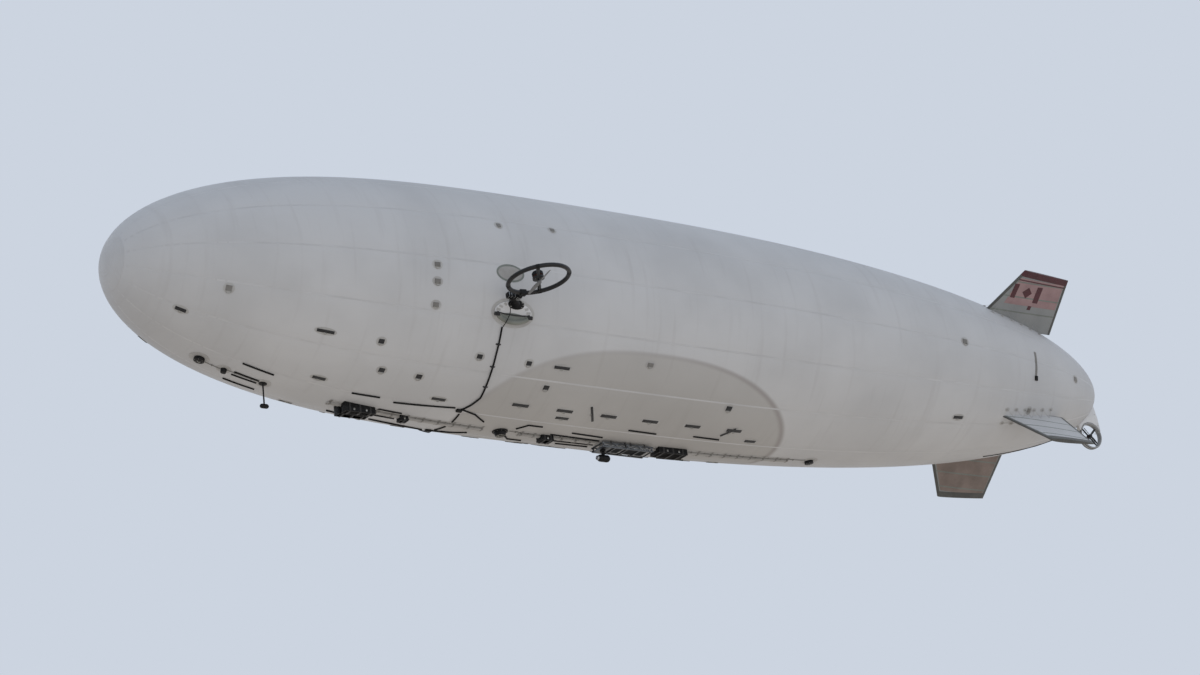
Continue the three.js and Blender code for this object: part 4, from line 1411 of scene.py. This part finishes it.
@dataclass
class SkinFittings:
    """The load tabs, dots and taut lines on the belly and flanks, alike on both sides."""

    form: HullForm
    belly_row: tuple[float, ...] = (2.83, 2.07, 1.30, 0.56, -0.21, -0.98)
    flank_row: tuple[float, ...] = (6.23, 5.39, 3.83, 3.01, 2.45)
    dashes: tuple[float, ...] = (6.23, 2.45)
    dash: tuple[float, float] = (0.26, 0.045)
    dot: tuple[float, float] = (0.085, 0.070)
    tabs: tuple[Tab, ...] = (
        Tab(2.03, -72.0, 0.22, 0.050), Tab(1.59, -67.0, 0.34, 0.036, -59),
        Tab(-0.90, -68.6, 0.26, 0.042, 44), Tab(-1.41, -73.6, 0.20, 0.052),
        Tab(4.14, -70.6, 0.22, 0.050), Tab(6.02, -72.0, 0.20, 0.052), Tab(5.22, -59.0, 0.09, 0.075),
        Tab(4.63, -59.0, 0.09, 0.075), Tab(2.58, -55.0, 0.09, 0.075), Tab(-0.66, -54.0, 0.10, 0.080),
        Tab(0.98, -37.0, 0.10, 0.060), Tab(4.69, -4.0, 0.09, 0.070), Tab(4.69, -12.0, 0.09, 0.070),
        Tab(4.69, -23.0, 0.09, 0.070), Tab(-5.19, -47.0, 0.20, 0.050), Tab(-5.14, 0.6, 0.10, 0.080),
        Tab(-6.78, -39.5, 0.08, 0.070), Tab(-7.98, -4.0, 0.08, 0.070), Tab(-7.80, -52.0, 0.09, 0.080),
        Tab(8.17, -54.0, 0.16, 0.050), Tab(7.66, -30.0, 0.09, 0.080), Tab(2.62, 24.0, 0.07, 0.060),
        Tab(3.55, 22.0, 0.07, 0.060),
    )
    lines: tuple[tuple[tuple[float, float], tuple[float, float]], ...] = (
        ((0.80, -74.8), (0.30, -75.2)), ((-0.36, -74.0), (-0.84, -74.5)), ((5.43, -77.3), (5.00, -76.4)),
        ((4.75, -78.2), (4.30, -76.6)), ((4.30, -76.6), (3.80, -74.6)), ((3.70, -75.0), (3.42, -77.5)),
        ((3.42, -77.5), (3.18, -82.5)), ((3.66, -79.0), (3.63, -87.0)), ((7.10, -77.6), (6.62, -78.8)),
        ((2.58, -85.0), (2.45, -80.4)), ((2.45, -80.4), (2.21, -80.4)), ((1.65, -82.6), (1.10, -83.4)),
        ((7.10, -88.0), (6.72, -88.4)), ((4.86, -86.2), (4.48, -86.4)), ((1.95, -86.4), (1.08, -87.2)),
    )
    pale_above: float = -40.0

    def build(self, skin: Piece) -> None:
        """Lay every fitting on the port side and mirror it to starboard.

        Args:
            skin: the envelope.
        """
        belly = [Tab(x, -67.0, 0.27, 0.055) for x in self.belly_row]
        flank = [Tab(x, -44.0, *(self.dash if x in self.dashes else self.dot)) for x in self.flank_row]
        patches, webs, pale, rings = [], [], [], []
        for tab in (*belly, *flank, *self.tabs):
            spot = self.form.spot(tab.station, tab.angle) @ spun(radians(tab.turn), "Z")
            patches.append(oval(skin, spot, tab.long + 0.08, tab.wide + 0.07, 0.0012))
            half = tab.long / 2
            web = strap(skin, spot @ Vector((-half, 0, 0)), spot @ Vector((half, 0, 0)), tab.wide, 0.009,
                        up=spot.col[2].xyz)
            eased(web, 0.003)
            (pale if tab.angle > self.pale_above else webs).append(web)
            rings.append(self.ring(spot, tab.wide))
        cords = []
        for (x0, a0), (x1, a1) in self.lines:
            way = [self.form.point(x0 + (x1 - x0) * i / 10, a0 + (a1 - a0) * i / 10, 0.006)
                   for i in range(11)]
            cords.append(tube(way, 0.013))
        vent = strap(skin, self.form.point(-6.88, 8.0), self.form.point(-6.83, -12.5), 0.050, 0.005,
                     up=(0, 1, 0))
        foot = block((-0.032, -0.04, -0.002), (0.032, 0.04, 0.024), 0.008, self.form.spot(-6.83, -14.0))
        for name, finish, piece in (("load_patches", PATCH_CLOTH, join(patches)),
                                    ("load_tabs", BLACK_WEBBING, join(webs)),
                                    ("flank_tabs", GREY_WEBBING, join(pale)),
                                    ("vent_strip", GREY_WEBBING, vent),
                                    ("load_rings", ZINC_STEEL, join(rings)),
                                    ("belly_lines", BLACK_RUBBER, join([*cords, foot]))):
            dress(mirrored(piece), f"starboard_{name}", finish)
            dress(piece, f"port_{name}", finish)

    def ring(self, spot: Matrix, wide: float) -> Piece:
        """Model a steel D-ring lying under the middle of a tab."""
        half = max(0.018, wide * 0.42)
        way = [spot @ Vector((half * 1.2 * cos(turn), half * 1.2 * sin(turn) + half, 0.008))
               for turn in (pi * i / 8 for i in range(9))]
        return tube(way, 0.0030, closed=True, sides=1)


# Keel


@dataclass(frozen=True)
class HungCase:
    """How one hung case is dressed: its node, straps, latches a side and end connectors."""

    node: str
    straps: int
    latches: int
    plugs: int
    finish: Finish
    strap_half: float = 0.014
    buckle_half: float = 0.019
    latch_half: float = 0.013


@dataclass
class Keel:
    """The load rails, the cases hung from them, the fan, the camera and the line blocks."""

    form: HullForm
    cases: tuple[HungCase, ...] = (
        HungCase("battery_port", 3, 2, 2, BLACK_ABS), HungCase("battery_starboard", 3, 2, 2, BLACK_ABS),
        HungCase("junction_box", 1, 1, 3, BLACK_ABS), HungCase("fan_controller", 2, 1, 2, BLACK_ABS),
        HungCase("main_battery", 3, 2, 2, BLACK_ABS), HungCase("payload_box_forward", 0, 2, 3, GREY_PAINT),
        HungCase("payload_box_aft", 0, 2, 2, GREY_PAINT),
    )
    rails: tuple[str, ...] = ("keel_rail_forward", "keel_rail_aft")
    valve_x: float = 2.760
    vanes: int = 9
    frame_bottom: float = -1.922
    frame_bays: int = 4
    frame_bar: float = 0.018
    camera_x: float = 0.970
    camera_z: float = -2.050
    camera_body: float = 0.055
    camera_length: float = 0.220
    runs: tuple[tuple[float, float, float], ...] = (
        (4.92, 4.48, 0.048), (4.33, 3.10, 0.048), (4.92, 4.40, -0.050), (2.63, 2.09, 0.052),
        (1.87, 1.06, 0.056), (0.16, 0.03, 0.050), (-0.51, -2.80, 0.044), (7.20, 6.70, 0.020),
        (7.53, 7.29, -0.020))

    def build(self, skin: Piece) -> None:
        """Dress the keel from nose to tail.

        Args:
            skin: the envelope.
        """
        for rail in self.rails:
            self.rail(skin, rail)
        screw = bolt(0.0045, 0.0035)
        for case in self.cases:
            self.case(case, screw)
        bpy.data.objects.remove(screw)
        self.fan()
        self.frame()
        self.camera()
        self.blocks(skin)
        self.harness()

    def rail(self, skin: Piece, node: str) -> None:
        """Cover a load rail: bonded flanges on the skin, cross tapes and toggles."""
        low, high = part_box(node)
        dress(eased_copy(node, 0.004), f"{node}_cover", PALE_WEBBING, node)
        flanges, tapes = [], []
        count = max(2, round((high[0] - low[0]) / 0.5))
        for side in (1, -1):
            for i in range(count):
                first = low[0] + (high[0] - low[0]) * i / count
                last = low[0] + (high[0] - low[0]) * (i + 1) / count
                start = self.form.point(first, -90) + Vector((0, side * 0.055, 0))
                end = self.form.point(last, -90) + Vector((0, side * 0.055, 0))
                flanges.append(strap(skin, start, end, 0.060, 0.003, up=(0, 0, -1)))
        for i in range(2 * count + 1):
            x = min(high[0] - 0.03, max(low[0] + 0.03, low[0] + (high[0] - low[0]) * i / (2 * count)))
            spot = self.form.spot(x, -90)
            tapes.append(block((-0.016, -0.0325, 0.0), (0.016, 0.0325, 0.0325), 0.004, spot))
            for y in (0.062, -0.062):
                tapes.append(block((-0.016, y - 0.030, 0.003), (0.016, y + 0.030, 0.007), 0.0015, spot))
        dress(join(flanges), f"{node}_flanges", PATCH_CLOTH)
        dress(join(tapes), f"{node}_cross_tapes", GREY_WEBBING)

    def case(self, case: HungCase, screw: Piece) -> None:
        """Ease a case and give it its lid, straps, latches, plugs and screws."""
        low, high = (Vector(corner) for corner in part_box(case.node))
        dress(eased_copy(case.node, 0.005), f"{case.node}_case", case.finish, case.node)
        middle = (low + high) / 2
        band = low.z + min(0.035, (high.z - low.z) * 0.35)
        lid = block((low.x - 0.003, low.y - 0.003, low.z - 0.003), (high.x + 0.003, high.y + 0.003, band),
                    0.006)
        pick(lid, lambda place: place.z < low.z - 0.0025, faces=True)
        bpy.ops.mesh.inset(thickness=0.012, depth=0.0)
        bpy.ops.mesh.inset(thickness=0.004, depth=-0.003)
        dress(close(), f"{case.node}_lid", case.finish)
        bits = []
        for i in range(case.straps):
            x = low.x + (high.x - low.x) * (i + 0.5) / case.straps
            top = min(high.z, -self.form.at(x) - 0.004)
            for side, y in ((1, high.y), (-1, low.y)):
                bits.append(slab(x, case.strap_half, (y, y + side * 0.006), (low.z - 0.004, top), 0.0018))
            across = (low.y - 0.005, high.y + 0.005)
            bits.append(slab(x, case.strap_half, across, (low.z - 0.0065, low.z - 0.002), 0.0018))
            buckle = (middle.y - 0.020, middle.y + 0.020)
            bits.append(slab(x, case.buckle_half, buckle, (low.z - 0.011, low.z - 0.004), 0.003))
        if bits:
            dress(join(bits), f"{case.node}_straps", BLACK_WEBBING)
        metal = []
        for i in range(case.latches):
            x = low.x + (high.x - low.x) * (i + 0.75) / (case.latches + 0.5)
            for side, y in ((1, high.y + 0.003), (-1, low.y - 0.003)):
                heights = (band - 0.016, band + 0.016)
                metal.append(slab(x, case.latch_half, (y, y + side * 0.005), heights, 0.0018))
        for x in (low.x + 0.012, high.x - 0.012):
            for y in (low.y + 0.012, high.y - 0.012):
                metal.append(copy_of(screw, shifted((x, y, low.z - 0.002)) @ spun(pi, "X")))
        dress(join(metal), f"{case.node}_latches", ZINC_STEEL)
        shell = [(0, -0.002), (0.013, -0.002), (0.013, 0.004), (0.0105, 0.005), (0.0105, 0.019),
                 (0.0085, 0.021), (0.0060, 0.030), (0, 0.030)]
        plugs = []
        for i in range(case.plugs):
            y = low.y + (high.y - low.y) * (i + 1) / (case.plugs + 1)
            plugs.append(lathe(shell, 20, shifted((low.x, y, middle.z - 0.006)) @ spun(-pi / 2, "Y")))
        dress(join(plugs), f"{case.node}_plugs", BLACK_RUBBER)

    def fan(self) -> None:
        """Model the ballonet fan: flange, louvred case and a domed guard over the inlet."""
        spot = self.form.spot(self.valve_x, -90)
        flange = [(0, 0.004), (0.118, 0.004), (0.118, 0.014), (0.114, 0.018), (0.088, 0.018), (0, 0.018)]
        case = [(0.060, 0.014), (0.088, 0.014), (0.0865, 0.030), (0.083, 0.052), (0.079, 0.066),
                (0.077, 0.072), (0.074, 0.076), (0.068, 0.076), (0.065, 0.072), (0.063, 0.062),
                (0.060, 0.014)]
        boss = [(0, 0.018), (0.022, 0.018), (0.022, 0.060), (0.019, 0.066), (0, 0.068)]
        body = join([lathe(flange, 72, spot), lathe(case, 72, spot), lathe(boss, 32, spot)])
        dress(body, "ballonet_fan_case", BLACK_ABS, "ballonet_fan")
        bars = [tube(circle(wide, 0.0725, 48), 0.0016, closed=True, sides=1)
                for wide in (0.030, 0.042, 0.054, 0.064)]
        bars += [tube(ends, 0.0020, sides=1)
                 for ends in zip(circle(0.022, 0.0715, 8), circle(0.067, 0.0715, 8))]
        dress(settle(join(bars), spot), "ballonet_fan_guard", ZINC_STEEL)
        vanes = blocks_round(self.vanes, (0.020, -0.013, 0.040), (0.062, 0.013, 0.0435), 0.0015, lean=28.0)
        dress(settle(join(vanes), spot), "ballonet_fan_blades", BLADE_NYLON)
        raised = spot @ shifted((0, 0, 0.0175))
        dress(bolt_ring(10, 0.102, 0.0055, raised), "ballonet_fan_bolts", ZINC_STEEL)

    def frame(self) -> None:
        """Ease the payload frame and add its corner plates, rivets and hanging webs."""
        low, high = (Vector(corner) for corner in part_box("payload_frame"))
        dress(eased_copy("payload_frame", 0.002), "payload_frame_tubes", ANODISED, "payload_frame")
        bar = self.frame_bar
        plates, rivets = [], []
        head = bolt(0.0032, 0.002)
        for i in range(self.frame_bays + 1):
            x = low.x + bar / 2 + (high.x - low.x - bar) * i / self.frame_bays
            for side, y in ((1, high.y), (-1, low.y)):
                for z in (low.z + 0.016, high.z - 0.018):
                    outer = y + side * 0.002
                    plates.append(slab(x, 0.028, (y, outer), (z - 0.014, z + 0.014), 0.0008))
                    for step in (-0.019, 0.0, 0.019):
                        stand = shifted((x + step, outer, z)) @ spun(-side * pi / 2, "X")
                        rivets.append(copy_of(head, stand))
        bpy.data.objects.remove(head)
        dress(join(plates), "payload_frame_gussets", ANODISED)
        dress(join(rivets), "payload_frame_rivets", ZINC_STEEL)
        webs = []
        for x in (low.x + 0.14, low.x + 0.39, high.x - 0.39, high.x - 0.14):
            heights = (high.z - 0.020, high.z + 0.020)
            webs += [slab(x, 0.015, (y - 0.002, y + 0.002), heights, 0.001) for y in (0.150, -0.150)]
        dress(join(webs), "payload_frame_webs", BLACK_WEBBING)

    def camera(self) -> None:
        """Model the camera's ribbed base and its long pod: seams, a neck and the glazed window."""
        base = shifted((self.camera_x, 0, self.frame_bottom - 0.0004)) @ spun(pi, "X")
        mount = [(0, 0), (0.044, 0), (0.044, 0.007), (0.041, 0.009), (0.041, 0.013), (0.044, 0.015),
                 (0.044, 0.022), (0.041, 0.0255), (0, 0.0255)]
        dress(lathe(mount, 56, base), "camera_mount", BLACK_ABS, "camera_base")
        middle = shifted((self.camera_x, 0, self.camera_z))
        look = middle @ spun(pi / 2, "Y")
        wide = self.camera_body
        centre = self.camera_length / 2 - wide
        round_end = [(wide * sin(turn), wide * cos(turn)) for turn in (pi / 2 * i / 12 for i in range(13))]
        seams = []
        for x in (-0.036, 0.030):
            seams += [(wide, x), (wide - 0.002, x + 0.001), (wide - 0.002, x + 0.004), (wide, x + 0.005)]
        body = [(0.0, -centre - wide), *[(side, -centre - along) for side, along in round_end[1:]], *seams,
                *[(side, centre + along) for side, along in reversed(round_end[1:])], (0.0, centre + wide)]
        neck = [(0, 0.030), (0.026, 0.030), (0.026, 0.062), (0.0275, 0.064), (0.0275, 0.072),
                (0.026, 0.074), (0.026, 0.0955), (0.016, 0.0955), (0.016, 0.1012), (0, 0.1012)]
        pod = join([lathe(body, 72, look), lathe(neck, 48, middle)])
        dress(pod, "camera_pod", BLACK_ABS, "camera_head", body="camera")
        rim = [(0.026, 0.092), (0.034, 0.096), (0.034, 0.1165), (0.031, 0.120), (0.027, 0.120),
               (0.026, 0.1145), (0.026, 0.092)]
        dress(lathe(rim, 48, look), "camera_lens_rim", ALUMINIUM, body="camera")
        glass = [(0, 0.094), (0.026, 0.094), (0.026, 0.1105), (0.018, 0.1140), (0.009, 0.1157),
                 (0, 0.1163)]
        dress(lathe(glass, 48, look), "camera_lens_glass", LENS_GLASS, body="camera")
        screws = look @ shifted((0, 0, 0.1190))
        dress(bolt_ring(6, 0.0292, 0.0015, screws), "camera_lens_screws", ZINC_STEEL, body="camera")

    def blocks(self, skin: Piece) -> None:
        """Dress the line blocks, nose sensor and hanging aerial, each on its bonded patch."""
        rings, patches = [], []
        for node, name, wide in (("bow_line_block", "bow_line_block_case", 0.30),
                                 ("aft_line_block", "aft_line_block_case", 0.28),
                                 ("nose_sensor", "nose_sensor_case", 0.22),
                                 ("forward_aerial", "forward_aerial_mast", 0.24)):
            low, high = (Vector(corner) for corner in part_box(node))
            dress(eased_copy(node, 0.003), name, BLACK_ABS, node)
            spot = self.form.spot((low.x + high.x) / 2, -90)
            patches.append(oval(skin, spot, wide, wide, 0.003))
        for x, wide in ((7.61, 0.078), (-2.90, 0.070)):
            spot = self.form.spot(x, -90)
            raised = spot @ shifted((0, 0, 0.046))
            rings.append(bolt_ring(6, wide * 0.78, 0.005, raised))
            hoop = [spot @ Vector((0.026 * cos(tau * i / 24), 0, 0.052 + 0.020 * sin(tau * i / 24) * 0.6))
                    for i in range(24)]
            rings.append(tube(hoop, 0.0035, closed=True))
        dress(join(rings), "line_block_rings", ZINC_STEEL)
        dress(join(patches), "keel_patches", PATCH_CLOTH)

    def harness(self) -> None:
        """Run the cable harness along the belly from case to case, with its clips."""
        cables, clips = [], []
        for first, last, y in self.runs:
            steps = max(2, round(abs(first - last) / 0.12))
            way = []
            for i in range(steps + 1):
                x = first + (last - first) * i / steps
                skin = -sqrt(self.form.at(x) ** 2 - y * y)
                way.append(Vector((x, y + 0.006 * sin(3.1 * i), skin - 0.008)))
                if 0 < i < steps and i % 2:
                    place = shifted((0, y, 0)) @ self.form.spot(x, -90)
                    clips.append(block((-0.008, -0.016, 0.001), (0.008, 0.016, 0.018), 0.003, place))
            cables.append(tube(curved(way, 3), 0.005))
        dress(join(cables), "keel_harness", GREY_WEBBING)
        dress(join(clips), "keel_harness_clips", GREY_WEBBING)


# Studio


@dataclass
class Studio:
    """A plain pale floor at the camera's level, soft light and the camera at the photo's angle."""

    camera_place: Point = (28.1, 38.4, -17.7)
    look_at: Point = (0.80, 0.0, -0.10)
    roll: float = 6.1
    lens: float = 100.0
    sky: str = "ccd4e0"
    floor_tone: str = "f3e3d0"
    floor_reach: float = 400.0
    floor_drop: float = 0.15
    lamp_strength: float = 0.50
    lamp_way: Point = (4, -40, 14)

    def build(self) -> None:
        """Set the camera, the world, the lamps and the floor."""
        self.camera()
        self.world()
        self.lamps()
        self.floor()
        bpy.context.scene.view_settings.view_transform = "Standard"

    def camera(self) -> None:
        """Point a long lens at the airship from below, tilted as the photo's horizon is."""
        data = bpy.data.cameras.new("camera")
        data.lens = self.lens
        data.clip_end = 2000
        camera = bpy.data.objects.new("camera", data)
        way = Vector(self.look_at) - Vector(self.camera_place)
        turned = way.to_track_quat("-Z", "Y").to_matrix().to_4x4()
        camera.matrix_world = shifted(self.camera_place) @ turned @ spun(radians(-self.roll), "Z")
        bpy.context.collection.objects.link(camera)
        bpy.context.scene.camera = camera

    def world(self) -> None:
        """Fill the studio with pale light."""
        world = bpy.data.worlds.new("studio")
        bpy.context.scene.world = world
        world.use_nodes = True
        inputs = world.node_tree.nodes["Background"].inputs
        inputs["Color"].default_value = linear(self.sky)
        inputs["Strength"].default_value = 1.0

    def lamps(self) -> None:
        """Set one broad soft lamp low to port, as light from a bright horizon."""
        data = bpy.data.lights.new("broad_lamp", "SUN")
        data.energy = self.lamp_strength
        data.use_shadow = False
        data.angle = radians(60)
        data.color = (1.0, 0.98, 0.95)
        lamp = bpy.data.objects.new("broad_lamp", data)
        lamp.rotation_euler = Vector(self.lamp_way).to_track_quat("-Z", "Y").to_euler()
        bpy.context.collection.objects.link(lamp)

    def floor(self) -> None:
        """Lay the floor at the camera's level; from below it is clear, so that it hides nothing."""
        bpy.ops.object.select_all(action="DESELECT")
        level = self.camera_place[2] - self.floor_drop
        bpy.ops.mesh.primitive_plane_add(size=self.floor_reach, location=(0, 0, level))
        floor = settle(bpy.context.object)
        floor.name = "studio_floor"
        paint = bpy.data.materials.new("pale_floor")
        paint.use_nodes = True
        tree = paint.node_tree
        tree.nodes.clear()
        under = add_node(tree, "NewGeometry").outputs["Backfacing"]
        matt = add_node(tree, "BsdfPrincipled", {"Base Color": linear(self.floor_tone), "Roughness": 0.9})
        clear = add_node(tree, "BsdfTransparent")
        mix = add_node(tree, "MixShader", {0: under, 1: matt.outputs[0], 2: clear.outputs[0]})
        add_node(tree, "OutputMaterial", {"Surface": mix.outputs[0]})
        floor.data.materials.append(paint)


def main() -> None:
    """Build the studio and the airship, from the hull outwards."""
    logging.basicConfig(level=logging.INFO, format="%(name)s: %(message)s")
    far, _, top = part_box("envelope")[1]
    form = HullForm(half=far, radius=top)
    Studio().build()
    envelope = Envelope(form)
    skin = envelope.build()
    envelope.tapes(skin)
    TailFins(form).build(skin)
    SternThruster(form).build(skin)
    SideThruster(form).build(skin)
    SkinFittings(form).build(skin)
    Keel(form).build(skin)


if __name__ == "__main__":
    main()
